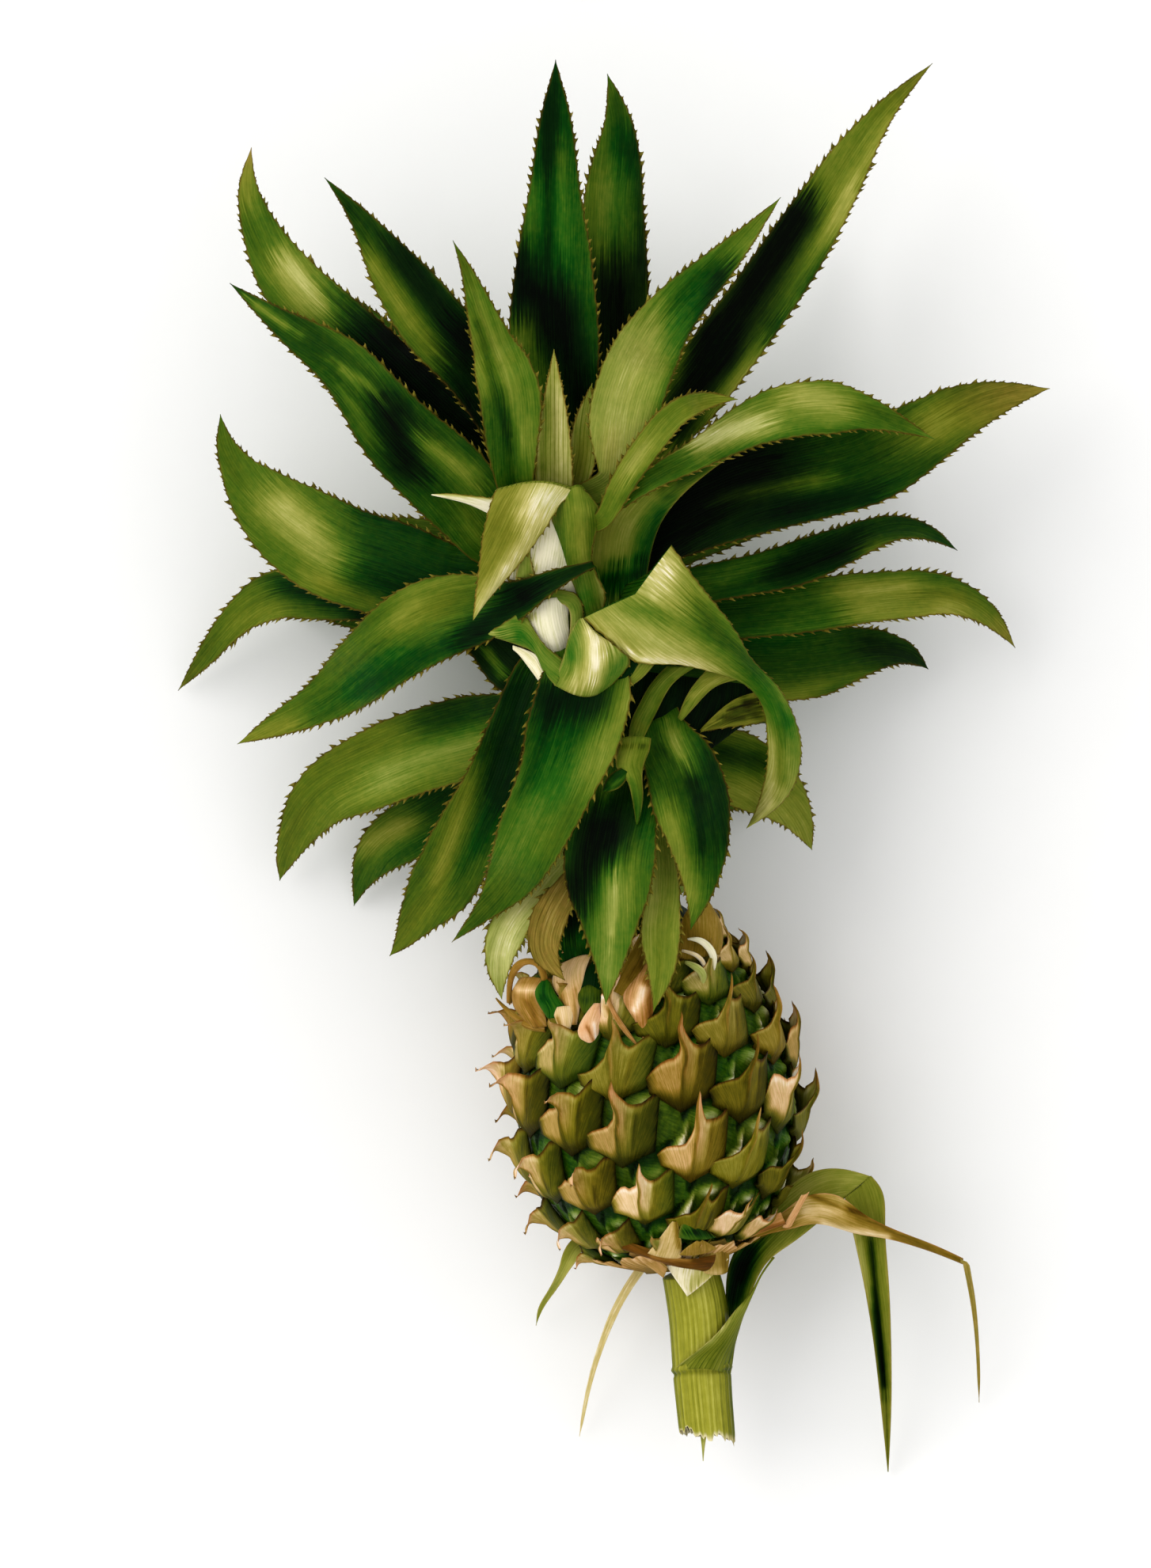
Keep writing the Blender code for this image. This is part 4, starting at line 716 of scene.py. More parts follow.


# ------------------------------------------------------------- the leaves' looks
# tone 0 black-green .. 1 cream, warm 0 green .. 1 olive; marks are soft strokes
# x0, y0, x1, y1, radius, tone, warm on the layout grid. Their tone is partly the leaves' own colour and partly painted
# shade and painted highlights.
LOOKS = {
 "leaf_a": dict(tone=.38, warm=0.12, marks=((694, 70, 700, 200, 22, -.14, -.2), (655, 430, 675, 400, 12, .22, .3), (704, 330, 700, 240, 16, -.04, -.5), (650, 338, 690, 400, 30, -.34, -.1), (690, 400, 742, 535, 30, -.38, -.1), (668, 420, 690, 520, 24, .22, .3), (708, 190, 710, 320, 9, .16, .35), (692, 110, 694, 320, 9, -.12, 0), (678, 250, 672, 300, 12, .10, .1))),
 "leaf_b": dict(tone=0.47, warm=.5, marks=((785, 180, 772, 300, 18, -.02, -.4), (775, 362, 785, 470, 40, -.46, -.2), (806, 180, 818, 340, 14, -.22, -.3), (780, 120, 785, 200, 14, -.14, -.2), (765, 230, 760, 330, 14, .1, .2))),
 "leaf_c": dict(tone=.60, warm=.42, marks=((800, 500, 812, 440, 14, -.08, 0), (850, 430, 880, 360, 22, -.10, -.3), (775, 570, 805, 440, 30, .16, .1), (860, 380, 905, 330, 26, -.14, -.1), (915, 345, 842, 520, 12, -.34, -.2), (930, 300, 975, 262, 12, -.1, .1), (768, 578, 772, 560, 10, 0, .7), (830, 410, 800, 480, 10, .07, .1))),
 "leaf_d": dict(dry=((.86, 1.0, .3),), tone=.54, warm=.72, marks=((975, 420, 1050, 320, 16, -.30, -.5), (850, 540, 905, 440, 22, -.62, -.4), (905, 440, 1010, 270, 24, -.62, -.4), (912, 520, 1000, 390, 10, .14, .2), (1000, 390, 1075, 240, 12, .2, .2), (1120, 140, 1165, 95, 16, -.06, .1), (1095, 215, 1130, 150, 10, .1, .2), (960, 455, 1040, 345, 9, -.1, -.4))),
 "leaf_e": dict(tone=.50, warm=.62, marks=((800, 600, 850, 550, 16, .08, .05), (790, 600, 815, 565, 16, .14, .1), (800, 625, 840, 575, 10, -.24, -.2), (880, 520, 925, 508, 12, .05, .3))),
 "leaf_f": dict(tone=.52, warm=.30, marks=((1020, 505, 1060, 515, 16, -.10, 0), (890, 555, 950, 545, 14, .06, .05), (1005, 500, 1060, 515, 18, .30, .3), (880, 558, 960, 535, 17, .30, .1), (790, 622, 860, 590, 14, -.12, 0), (920, 580, 1090, 552, 13, -.16, -.1), (1075, 510, 1150, 540, 12, -.12, .1), (960, 512, 1000, 500, 10, -.05, .2))),
 "leaf_g": dict(dry=((.70, .95, .5),), tone=.29, warm=.2, marks=((1000, 640, 1110, 600, 18, -.12, -.2), (1210, 520, 1280, 500, 22, -.10, .1), (815, 700, 850, 620, 40, -.34, 0), (850, 650, 960, 590, 46, -.30, 0), (900, 632, 1040, 605, 8, .2, .4), (1010, 625, 1120, 595, 10, .10, .2), (1130, 560, 1170, 545, 24, .10, .3), (1190, 530, 1320, 493, 34, .27, .75), (950, 655, 1100, 630, 12, -.1, -.1))),
 "leaf_ga": dict(tone=.52, warm=.55, marks=((825, 690, 850, 620, 14, -.36, -.3), (850, 620, 905, 585, 12, -.3, -.2), (790, 690, 800, 640, 18, .12, .2), (810, 730, 800, 700, 22, -.22, -.3))),
 "leaf_h": dict(tone=.28, warm=.15, marks=((985, 722, 1080, 690, 16, -.24, -.1), (1100, 672, 1190, 672, 12, -.02, 0), (1090, 695, 1160, 688, 11, .22, .5), (900, 735, 980, 700, 12, .12, .1), (830, 750, 880, 745, 20, .05, .1))),
 "leaf_i": dict(dry=((.84, 1.0, .45),), tone=.38, warm=.25, marks=((1090, 750, 1150, 745, 16, .08, .1), (1060, 745, 1150, 740, 16, .18, .5), (1080, 775, 1200, 775, 14, .2, .5), (1200, 760, 1275, 805, 22, .16, .55), (1150, 752, 1225, 752, 10, -.05, .2), (820, 790, 940, 780, 34, -.08, -.1))),
 "leaf_j": dict(tone=.33, warm=.22, marks=((930, 805, 1000, 795, 18, .04, -.3), (930, 885, 1020, 885, 18, .2, .6), (1090, 812, 1170, 838, 16, -.14, 0), (1030, 865, 1090, 850, 10, .1, .3), (840, 830, 930, 820, 24, -.04, 0))),
 "leaf_k": dict(tone=.72, warm=.52, ripple=.4, edge=.5, marks=((848, 705, 872, 742, 24, .14, .3), (803, 757, 960, 872, 6, -.2, 0), (765, 792, 880, 838, 13, .14, .4), (800, 770, 850, 800, 12, -.06, -.1), (895, 770, 945, 840, 16, -.12, -.1), (985, 890, 1000, 960, 26, -.14, -.2), (950, 860, 975, 900, 12, -.16, -.2))),
 "leaf_l": dict(tone=.62, warm=.72, ripple=.4, edge=.8, marks=((650, 620, 728, 628, 10, .2, .1), (690, 640, 705, 650, 18, .2, .1), (655, 740, 600, 786, 9, .3, .1), (628, 650, 616, 720, 10, -.05, .1), (670, 650, 640, 700, 8, .06, .1))),
 "leaf_m": dict(tone=.56, warm=.45, ripple=.4, edge=.75, marks=((706, 640, 745, 640, 10, -.02, .2), (725, 690, 750, 740, 12, -.06, -.1), (742, 660, 748, 700, 8, -.08, 0))),
 "leaf_p": dict(tone=.46, warm=.42, marks=((540, 770, 580, 750, 16, -.14, 0), (450, 870, 500, 830, 14, 0, -.4), (742, 714, 660, 752, 16, -.28, -.3), (660, 752, 600, 800, 20, -.30, -.4), (520, 760, 585, 738, 18, .14, .25), (500, 790, 560, 770, 14, .12, .3), (590, 805, 470, 862, 20, -.16, -.35), (560, 800, 600, 775, 10, .1, .1), (440, 875, 400, 900, 16, -.06, -.2), (370, 915, 310, 935, 14, .1, .5))),
 "leaf_q": dict(tone=.48, warm=.45, marks=((480, 690, 610, 735, 44, -.2, -.35), (450, 745, 600, 770, 26, -.2, -.35), (345, 640, 420, 705, 22, .26, .2), (360, 625, 400, 665, 12, .1, .1), (400, 735, 480, 765, 12, .12, .55), (285, 560, 300, 600, 14, -.04, .1), (450, 645, 560, 680, 10, -.1, -.2))),
 "leaf_r": dict(dry=((.88, 1.0, .35),), tone=.46, warm=.6, marks=((360, 738, 470, 772, 16, -.28, -.65), (480, 775, 600, 770, 30, -.2, -.4), (300, 790, 350, 765, 14, .06, .2), (235, 855, 262, 815, 12, -.06, .1))),
 "leaf_s": dict(tone=.44, warm=.4, dry=((.93, 1.0, .8),), marks=((370, 340, 400, 380, 12, .07, 0), (365, 330, 415, 398, 15, .30, .2), (345, 340, 385, 400, 12, .16, .2), (318, 190, 308, 250, 12, .16, .5), (430, 400, 520, 470, 26, -.2, -.2), (490, 440, 610, 560, 34, -.42, -.3), (325, 260, 345, 310, 12, .04, 0))),
 "leaf_t": dict(tone=.33, warm=.2, marks=((400, 400, 470, 460, 18, .08, .1), (318, 382, 372, 420, 5, .28, .3), (426, 462, 484, 504, 6, .28, .3), (540, 562, 600, 606, 13, .26, .4), (490, 520, 518, 592, 19, -.32, -.1), (440, 500, 470, 560, 8, .14, .2), (590, 640, 604, 680, 18, .14, .3), (370, 400, 560, 560, 8, -.08, 0))),
 "leaf_u": dict(tone=.36, warm=.3, marks=((470, 340, 510, 400, 14, .09, .1), (500, 320, 590, 430, 20, -.26, -.2), (585, 430, 605, 540, 22, -.3, -.2), (470, 330, 550, 450, 15, .15, .45), (430, 250, 470, 290, 12, -.12, -.1), (550, 450, 590, 520, 10, -.1, -.1))),
 "leaf_v": dict(tone=.50, warm=.4, fold=.9, marks=((600, 400, 645, 560, 5, -.2, -.1), (598, 420, 612, 510, 13, .1, .2), (630, 440, 668, 570, 12, .12, .1), (600, 380, 618, 420, 8, .06, .1), (625, 520, 640, 610, 22, -.14, -.2), (580, 325, 592, 350, 8, -.08, .3))),
 "leaf_w": dict(tone=0.76, warm=.75, fold=.8, rib=.5, edge=.8, marks=((708, 500, 712, 600, 7, .10, .1), (690, 500, 686, 600, 6, -.12, -.1))),
 "leaf_x": dict(tone=.68, warm=.7, rib=.5, edge=.85, dry=((-.2, .0, .0),), marks=((728, 606, 738, 560, 9, -.08, .4),)),
 # leaf_y and leaf_o are near-black: their dark tone is painted shade (leaf_y in the gap between leaf_x and leaf_c,
 # leaf_o under leaf_p), with a lighter midrib strip on leaf_o
 "leaf_y": dict(tone=.10, warm=.2),
 "leaf_o": dict(tone=.14, warm=.2, marks=((640, 860, 610, 815, 6, .36, .2),)),
 "leaf_aa": dict(tone=.48, warm=.68, marks=((480, 980, 600, 935, 20, .18, -.35), (545, 905, 630, 890, 24, -.26, -.5), (400, 960, 480, 935, 14, -.04, .1), (365, 1070, 380, 1030, 12, -.02, .1), (440, 1010, 500, 990, 12, .08, -.1))),
 "leaf_bb": dict(tone=.40, warm=.3, marks=((470, 1075, 510, 1045, 16, .10, .1), (462, 1062, 512, 1042, 15, .17, .5), (540, 1010, 600, 995, 22, -.12, -.2), (500, 1075, 560, 1050, 12, -.06, -.2))),
 "leaf_cc": dict(tone=.40, warm=.42, marks=((655, 870, 632, 990, 32, -.24, -.4), (596, 980, 556, 1100, 12, .16, .5), (560, 1120, 505, 1190, 18, .08, .4), (615, 1040, 570, 1120, 10, -.06, -.3), (640, 1000, 610, 1060, 14, -.08, -.3))),
 "leaf_dd": dict(tone=.43, warm=.3, dry=((.95, 1.0, .75),), marks=((700, 880, 760, 884, 26, -.34, -.2), (690, 900, 672, 990, 14, -.12, -.2), (720, 900, 712, 1000, 26, -.06, -.25), (790, 885, 748, 975, 22, .20, .25), (700, 990, 640, 1090, 24, .12, -.1), (735, 1000, 690, 1060, 16, .02, .2), (640, 1110, 600, 1160, 18, -.06, .2), (800, 862, 780, 900, 12, .1, .2))),
 "leaf_ee": dict(tone=0.72, warm=0.25, marks=((660, 1140, 630, 1210, 16, .10, .15), (640, 1180, 636, 1240, 10, .08, .1), (690, 1110, 650, 1160, 10, .04, .2))),
 "leaf_ff": dict(tone=.44, warm=.28, marks=((775, 1160, 785, 1210, 12, -.05, 0), (800, 985, 765, 1055, 26, -.26, -.1), (760, 1050, 724, 1130, 24, -.42, -.1), (775, 1110, 768, 1240, 18, .22, -.05), (776, 1110, 772, 1190, 4, .14, .1), (800, 1080, 795, 1150, 10, .06, .2), (750, 990, 775, 985, 14, .2, .1), (812, 1010, 822, 1080, 10, -.04, -.2))),
 "leaf_gg": dict(tone=0.61, warm=.6, marks=((838, 1180, 830, 1270, 12, -.06, .1), (822, 1120, 818, 1170, 10, .08, .1))),
 "leaf_hh": dict(tone=.34, warm=.18, marks=((848, 925, 862, 960, 13, .32, .3), (830, 935, 880, 1000, 5, -.16, 0), (845, 1030, 872, 1140, 16, .26, .45), (900, 960, 912, 1060, 18, -.14, -.1), (820, 950, 850, 1010, 16, -.02, .1), (880, 1000, 885, 1080, 8, -.14, -.1))),
 "leaf_ii": dict(tone=0.58, warm=.78, marks=((900, 950, 965, 962, 18, -.34, -.5), (960, 1000, 1010, 1050, 14, .04, .1))),
 "leaf_jj": dict(tone=.24, warm=.2, marks=((920, 912, 955, 905, 9, .28, .6),)),
 "leaf_nb": dict(tone=.52, warm=.8, dry=((-1, -.5, .8),), rib=.4, marks=((700, 1130, 692, 1200, 6, .1, .1),)),
}
for key in ("a", "b", "c", "d", "e", "f", "g", "h", "i", "k", "m", "n", "o", "p"):
    LOOKS["leaf_under_" + key] = dict(tone=.36 + .03*(ord(key) % 3), warm=.28 + .08*(ord(key) % 4))


# blades drawn by their margins; their marks, as in LOOKS, hold own colour and also painted shade and painted highlights
DRAWN = {
 "leaf_l": dict(left=((626, 622, 132), (617, 648, 132), (609, 686, 129), (604, 728, 126), (600, 762, 122), (598, 785, 120.5)),
                right=((731, 624, 131), (714, 633, 131), (699, 654, 131), (684, 677, 129), (665, 703, 127), (648, 724, 125.5), (628, 746, 123.5), (610, 768, 121.5), (598, 785, 120.5)),
                middle=((682, 612, 137), (668, 640, 136), (647, 685, 132), (626, 728, 128), (610, 762, 123), (598, 785, 120.5)),
                look=dict(tone=.57, warm=1.0, edge=.8, rib=.25, dry=((-1, -.5, .12),), marks=((690, 622, 718, 626, 20, .34, -.3), (676, 640, 692, 648, 14, .22, -.2), (660, 640, 676, 684, 11, .20, .4), (640, 640, 614, 730, 12, -.07, .1), (644, 712, 606, 776, 11, .30, -.2), (672, 668, 650, 712, 9, .16, .3), (634, 624, 640, 640, 10, .05, .4))), teeth=(.55, .95)),
 "leaf_m": dict(left=((700, 640, 126), (697, 662, 121.5), (706, 690, 119), (715, 722, 115.5), (724, 740, 114), (731, 762, 112), (738, 787, 110.5)),
                right=((738, 621, 130), (757, 644, 127), (757, 662, 123), (750, 686, 120.5), (748, 708, 118.5), (757, 734, 115.5), (765, 756, 113), (752, 785, 110.5)),
                middle=((724, 618, 133), (727, 655, 130), (729, 695, 123), (736, 738, 118), (745, 786, 111.5)),
                look=dict(tone=.55, warm=.55, edge=.75, marks=((750, 650, 746, 690, 6, -.10, 0), (704, 660, 714, 712, 6, -.06, -.2), (726, 630, 742, 634, 7, .06, .1), (730, 660, 734, 700, 8, .03, .3), (738, 745, 742, 770, 14, -.06, -.4), (760, 738, 765, 756, 5, .32, .2), (728, 740, 730, 756, 7, .1, -.2))), teeth=(0, .55)),
 "leaf_ga": dict(left=((748, 772, 97), (741, 742, 104), (738, 706, 109.5), (743, 676, 110.5), (754, 652, 112), (798, 628, 115), (850, 602, 111), (905, 573, 108), (970, 550, 106)),
                 right=((806, 766, 95), (815, 737, 97), (820, 710, 100), (826, 684, 103), (838, 656, 108), (860, 628, 111), (892, 600, 109), (932, 572, 107.5), (970, 551, 106)),
                 middle=((783, 768, 98), (784, 738, 101), (786, 705, 105), (791, 676, 110), (803, 652, 115), (830, 624, 117), (871, 598, 112), (918, 571, 109), (970, 550.5, 106)),
                 look=dict(tone=.62, warm=.75, edge=.45, marks=((812, 708, 838, 640, 11, -.26, -.8), (762, 742, 812, 730, 13, -.40, -1.2), (770, 722, 808, 716, 6, -.2, -.8), (760, 690, 770, 664, 8, -.06, .3), (804, 690, 812, 650, 10, -.08, -.4), (850, 615, 900, 585, 10, -.30, -.3), (786, 690, 796, 650, 9, .07, .1))), teeth=(0, 0)),
 "leaf_k": dict(left=((737, 782, 127), (752, 796, 126.5), (770, 811, 126), (784, 826, 124.5), (803, 837, 123), (850, 840, 120), (900, 850, 114), (938, 864, 109), (960, 888, 104), (968, 925, 98), (969, 958, 92), (964, 992, 86), (954, 1024, 80), (942, 1047, 77)),
                right=((848, 690, 128), (880, 735, 126), (905, 766, 123), (930, 800, 119), (950, 834, 113), (977, 862, 107), (998, 895, 101), (1010, 930, 96), (1011, 962, 91), (1001, 995, 86), (979, 1022, 81), (942, 1047, 77)),
                middle=((802, 752, 132), (858, 790, 130), (905, 821, 124), (948, 852, 115), (974, 885, 107), (986, 925, 101), (989, 960, 95), (982, 1000, 88), (966, 1024, 83), (942, 1047, 77)),
                look=dict(tone=.67, warm=.60, edge=.55, crease=True, rib=.12, marks=((832, 716, 848, 700, 13, .12, .4), (815, 745, 836, 716, 13, .24, .3), (838, 745, 850, 765, 12, .10, .2), (806, 758, 900, 812, 7, -.11, -.1), (760, 782, 860, 822, 10, .09, .1), (760, 796, 800, 830, 6, .10, .9), (872, 762, 952, 842, 15, -.11, 0), (806, 832, 890, 844, 9, .24, .6), (790, 768, 830, 780, 9, -.10, -.3), (890, 780, 945, 840, 18, -.17, -.3), (868, 740, 900, 790, 9, -.04, .1), (960, 865, 990, 915, 16, -.20, -.5), (1000, 905, 1004, 960, 9, -.08, -.3), (976, 930, 975, 1000, 7, .12, .2), (984, 930, 986, 1000, 5, -.15, 0), (952, 1030, 975, 1010, 9, .14, .4))), teeth=(.8, .55)),
}
# sheaths and small blades packed between the big leaves in the crown's heart; crescent and shade_blade are near-black
# sheets of painted shade, and the marks paint shade and highlights as well as colour
HEART = (
 ("leaf_l_back", ((626, 622, 131.5), (636, 618, 120), (668, 640, 106)), ((731, 624, 130.5), (734, 622, 118), (726, 640, 106)), ((682, 612, 136.5), (690, 614, 120), (700, 636, 108)), dict(tone=.66, warm=.9, rib=.4, edge=.3), (0, 0), 0),
 ("leaf_m_back", ((700, 640, 125.5), (704, 634, 116), (690, 655, 106)), ((738, 621, 129.5), (742, 626, 116), (740, 655, 104)), ((724, 618, 132.5), (728, 620, 118), (722, 650, 108)), dict(tone=.5, warm=.6), (0, 0), 0),
 ("leaf_k_back", ((737, 782, 126.5), (742, 786, 116), (735, 800, 103)), ((848, 690, 127.5), (852, 700, 118), (790, 740, 102)), ((802, 752, 131.5), (809, 762, 118), (775, 780, 102)), dict(tone=.24, warm=.0, rib=.3, edge=.1, crease=True), (0, 0), 0),
 ("sheath_upper", ((660, 640, 118.5), (650, 690, 118), (640, 722, 116.5), (634, 752, 112)), ((722, 636, 117), (725, 690, 116.5), (728, 722, 115), (730, 752, 111)), ((694, 636, 121.5), (690, 690, 121.5), (684, 722, 119.5), (682, 752, 114)), dict(tone=1.0, warm=.6, rib=.2, edge=0, marks=((650, 700, 668, 728, 6, -.30, -.3), (684, 668, 692, 664, 8, -.10, .4), (705, 690, 712, 722, 5, -.10, -.2), (676, 706, 672, 730, 4, -.08, .5))), (0, 0), 0),
 ("sheath_bud", ((668, 690, 123), (660, 702, 123), (652, 724, 121), (650, 742, 116)), ((671, 690, 123), (671, 708, 122), (675, 724, 120), (678, 740, 115)), None, dict(tone=.66, warm=.35, rib=.2, edge=.9, marks=((672, 704, 676, 726, 3, .2, .9),)), (0, .9), .8),
 ("sheath_lower", ((655, 776, 113), (666, 790, 114), (680, 812, 113.5), (694, 826, 112), (706, 834, 110)), ((722, 756, 113), (718, 780, 114), (719, 800, 114), (716, 818, 112.5), (709, 834, 110)), ((692, 758, 117.5), (694, 785, 118), (700, 808, 116.5), (707, 834, 111)), dict(tone=1.0, warm=.5, rib=.24, edge=0, marks=((655, 778, 668, 768, 5, -.3, .5), (720, 765, 720, 800, 4, -.10, 0))), (0, 0), 0),
 ("sheath_hood", ((650, 784, 113), (690, 764, 115.5), (716, 768, 116), (720, 790, 115), (716, 826, 112)), ((662, 776, 115), (696, 748, 116), (728, 752, 116), (736, 790, 114), (724, 832, 111)), None, dict(tone=.58, warm=.35, edge=.6, rib=.2, marks=((700, 758, 716, 764, 6, .1, -.1), (722, 770, 724, 800, 6, .12, -.1))), (0, .9), 1.0),
 ("sheath_band", ((616, 799, 112), (638, 787, 116), (660, 777, 117), (673, 793, 117), (688, 815, 118.5), (704, 829, 119.5), (716, 838, 119.5)), ((616, 803, 111.5), (640, 811, 113), (660, 818, 115), (677, 828, 117.5), (685, 846, 119.5), (692, 857, 121), (702, 868, 121.5)), None, dict(tone=.57, warm=.3, rib=.25, edge=.3, marks=((616, 801, 632, 801, 7, .22, .1), (640, 795, 664, 806, 8, -.10, -.4), (660, 778, 690, 818, 5, .12, .1), (690, 832, 704, 850, 9, .05, -.1))), (.4, 0), 1.4),
 ("sheath_rim", ((648, 816, 113), (668, 823, 115), (680, 831, 117), (687, 848, 119), (700, 866, 121)), ((652, 822, 112.5), (666, 841, 114), (677, 856, 116.5), (688, 868, 119), (704, 872, 120.5)), None, dict(tone=.97, warm=.9, rib=.2, edge=0), (0, 0), .8),
 ("curl", ((731, 783, 121), (720, 800, 121), (713, 825, 121), (705, 848, 122), (699, 866, 121.5)), ((738, 783, 124), (752, 799, 126), (769, 811, 127), (786, 824, 127), (796, 834, 124), (786, 852, 122), (768, 870, 120)), ((736, 782, 124), (747, 812, 129), (746, 848, 128.5), (738, 880, 121.5)), dict(tone=.62, warm=.3, rib=.12, edge=.4, marks=((742, 792, 756, 815, 11, .26, .7), (755, 812, 749, 850, 9, .26, .7), (752, 852, 722, 868, 11, .22, .9), (726, 796, 722, 840, 8, -.06, -.4), (784, 824, 768, 862, 8, -.08, -.5), (772, 820, 776, 846, 5, .06, .3))), (0, .7), 0),
 ("curl_back", ((731, 783, 120.5), (734, 786, 112), (724, 800, 104)), ((738, 783, 123.5), (744, 788, 112), (742, 800, 103)), None, dict(tone=.6, warm=.4), (0, 0), .5),
 ("tip_pale", ((642, 634, 119), (618, 630, 118), (590, 627, 117), (570, 625, 116), (546, 626, 115)), ((634, 660, 117), (612, 648, 116.5), (590, 638, 116), (572, 633, 115.5), (546, 627, 115)), None, dict(tone=1.0, warm=.5, edge=0, marks=((640, 627, 550, 619, 5, -.45, .9),)), (.5, 0), .6),
 ("strip_one", ((842, 842, 106), (822, 864, 105), (806, 892, 104), (797, 912, 103.5), (794, 932, 103)), ((880, 842, 106), (848, 866, 105), (833, 892, 104), (822, 914, 103.5), (812, 934, 103)), None, dict(tone=.50, warm=.55, edge=.3, marks=((862, 848, 830, 885, 6, .06, .1), (840, 868, 826, 900, 4, -.10, 0), (797, 922, 806, 930, 5, -.06, .4))), (0, 0), 1.4),
 ("strip_two", ((893, 846, 104), (874, 868, 104), (862, 890, 103), (856, 907, 102)), ((942, 858, 102), (903, 868, 103), (880, 890, 102.5), (861, 911, 101.5)), None, dict(tone=.56, warm=.7, edge=.3, marks=((915, 856, 880, 870, 5, .12, .4),)), (0, 0), 1.2),
 ("shade_blade", ((792, 846, 96), (790, 890, 97), (800, 925, 97), (812, 950, 96)), ((968, 868, 92), (966, 890, 92), (944, 912, 92), (900, 945, 92)), None, dict(tone=.05, warm=.1, edge=0, marks=((800, 850, 806, 880, 10, .10, 0), (850, 880, 846, 900, 6, .14, 0))), (0, 0), 1.5),
 ("streak_blade", ((966, 872, 95.5), (930, 882, 97), (900, 905, 97.5), (884, 922, 97)), ((968, 912, 94), (945, 916, 95.5), (915, 920, 96.5), (884, 925, 96.5)), None, dict(tone=.52, warm=.95, edge=.3, dry=((-1, -.5, .2),), marks=((930, 892, 960, 884, 3, -.45, -.5), (915, 902, 955, 894, 3, -.3, -.5), (905, 912, 950, 905, 3, -.35, -.5), (950, 880, 964, 900, 6, -.3, -.5))), (0, .5), 1.0),
 ("sheath_ff", ((783, 933, 114), (780, 950, 116), (778, 968, 117.5), (790, 984, 118), (797, 1003, 117), (803, 1040, 114)), ((822, 933, 112), (820, 948, 114), (813, 966, 116), (811, 985, 117), (812, 1003, 116.5), (806, 1040, 114)), None, dict(tone=.55, warm=.66, edge=.4, rib=.25, marks=((782, 933, 822, 933, 3, -.3, .4), (790, 945, 790, 970, 6, .06, .1), (812, 940, 806, 980, 4, -.08, 0), (800, 1000, 806, 1040, 8, -.16, -.5))), (0, 0), 1.6),
 ("crescent", ((761, 998, 116.5), (768, 981, 117.5), (784, 970, 118.5)), ((765, 1001, 116.5), (784, 994, 117.5), (795, 976, 118.5)), None, dict(tone=.26, warm=.1, edge=.5, marks=((764, 998, 790, 992, 4, .22, .2),)), (0, 0), .8),
 ("wedge", ((797, 828, 121), (786, 846, 120), (770, 872, 119.5)), ((806, 838, 120), (800, 850, 119.5), (776, 874, 119)), None, dict(tone=.2, warm=0, edge=0), (0, 0), .4),
 ("wedge_pale", ((810, 834, 119.5), (796, 852, 119), (774, 872, 118)), ((826, 840, 118), (812, 856, 118), (796, 868, 118)), None, dict(tone=.58, warm=.7, edge=.3), (0, 0), .4),
)


def make_heart():
    for i, (name, left, right, middle, look, teeth, bulge) in enumerate(HEART):
        lobe(name, left, right, look, np.random.default_rng(300 + i), bulge=bulge, middle=middle, teeth=teeth)


def make_leaves():
    made = {}
    for i, blade in enumerate(settle()):
        if blade.name.startswith("stalk"):
            made[blade.name] = blade
            continue
        look = LOOKS.get(blade.name, dict(tone=.4, warm=.3))
        rng = np.random.default_rng(100 + i)
        if blade.name in DRAWN:
            d = DRAWN[blade.name]
            lobe("blade_" + blade.name, d["left"], d["right"], d["look"], rng, teeth=d["teeth"], node=blade.name,
                 middle=d["middle"], cols=21, thick=.6)
            made[blade.name] = blade
            continue
        leaf_piece(blade, look, rng, node=blade.name)
        made[blade.name] = blade
    return made


# ------------------------------------------------------------- the fruit
COLUMNS = 14
STEP = 2*math.pi/COLUMNS
P0, P1 = (np.array((*to_plan(x, y), z)) for x, y, z in FRUIT_AXIS)
FRUIT_LEN = float(np.linalg.norm(P1 - P0))
FT = (P1 - P0)/FRUIT_LEN
FU = np.cross(FT, (0, 0, 1.0)); FU /= np.linalg.norm(FU)
FV = np.cross(FU, FT)
WIDE, TALL = 27.8, 26.8              # a middle fruitlet, across and up the fruit

# the fruit's profile by arc length, drawn on a little way over both ends
_s = np.linspace(0, 1, 600)
_x = np.concatenate([[-9, -5, -2.2], _s*FRUIT_LEN, FRUIT_LEN + np.array((6, 14, 26.0))])
_r = np.concatenate([[9.5, 10.2, 11.3], soft([q[0] for q in FRUIT_OUTLINE], [q[1] for q in FRUIT_OUTLINE], _s), [20.5, 20.6, 20.8]])
_arc = np.concatenate([[0], np.cumsum(np.hypot(np.diff(_x), np.diff(_r)))])
_arc -= _arc[3]
ARC_TOP = float(np.interp(FRUIT_LEN, _x, _arc))


def arc_of(s):
    return np.interp(np.asarray(s)*FRUIT_LEN, _x, _arc)


def on_fruit(arc, ang, z):
    """Point over the fruit's skin: arc length up the profile, angle round it, height off it."""
    x, r = np.interp(arc, _arc, _x), np.interp(arc, _arc, _r)
    e = 3.0
    dx = np.interp(arc + e, _arc, _x) - np.interp(arc - e, _arc, _x)
    dr = np.interp(arc + e, _arc, _r) - np.interp(arc - e, _arc, _r)
    n = np.hypot(dx, dr)
    R = np.cos(ang)[..., None]*FU + np.sin(ang)[..., None]*FV
    N = (dx/n)[..., None]*R - (dr/n)[..., None]*FT
    return P0 + x[..., None]*FT + r[..., None]*R + z[..., None]*N


# foot of each turn of fruitlets, as a share of the fruit's length
TURN_AT = np.array((-2, -1, 0, 1, 2, 3, 4, 5, 6, 7, 8, 9, 10.0))
TURN_S = np.array((-.075, -.05, -.022, .018, .095, .258, .46, .635, .765, .862, .93, .985, 1.03))


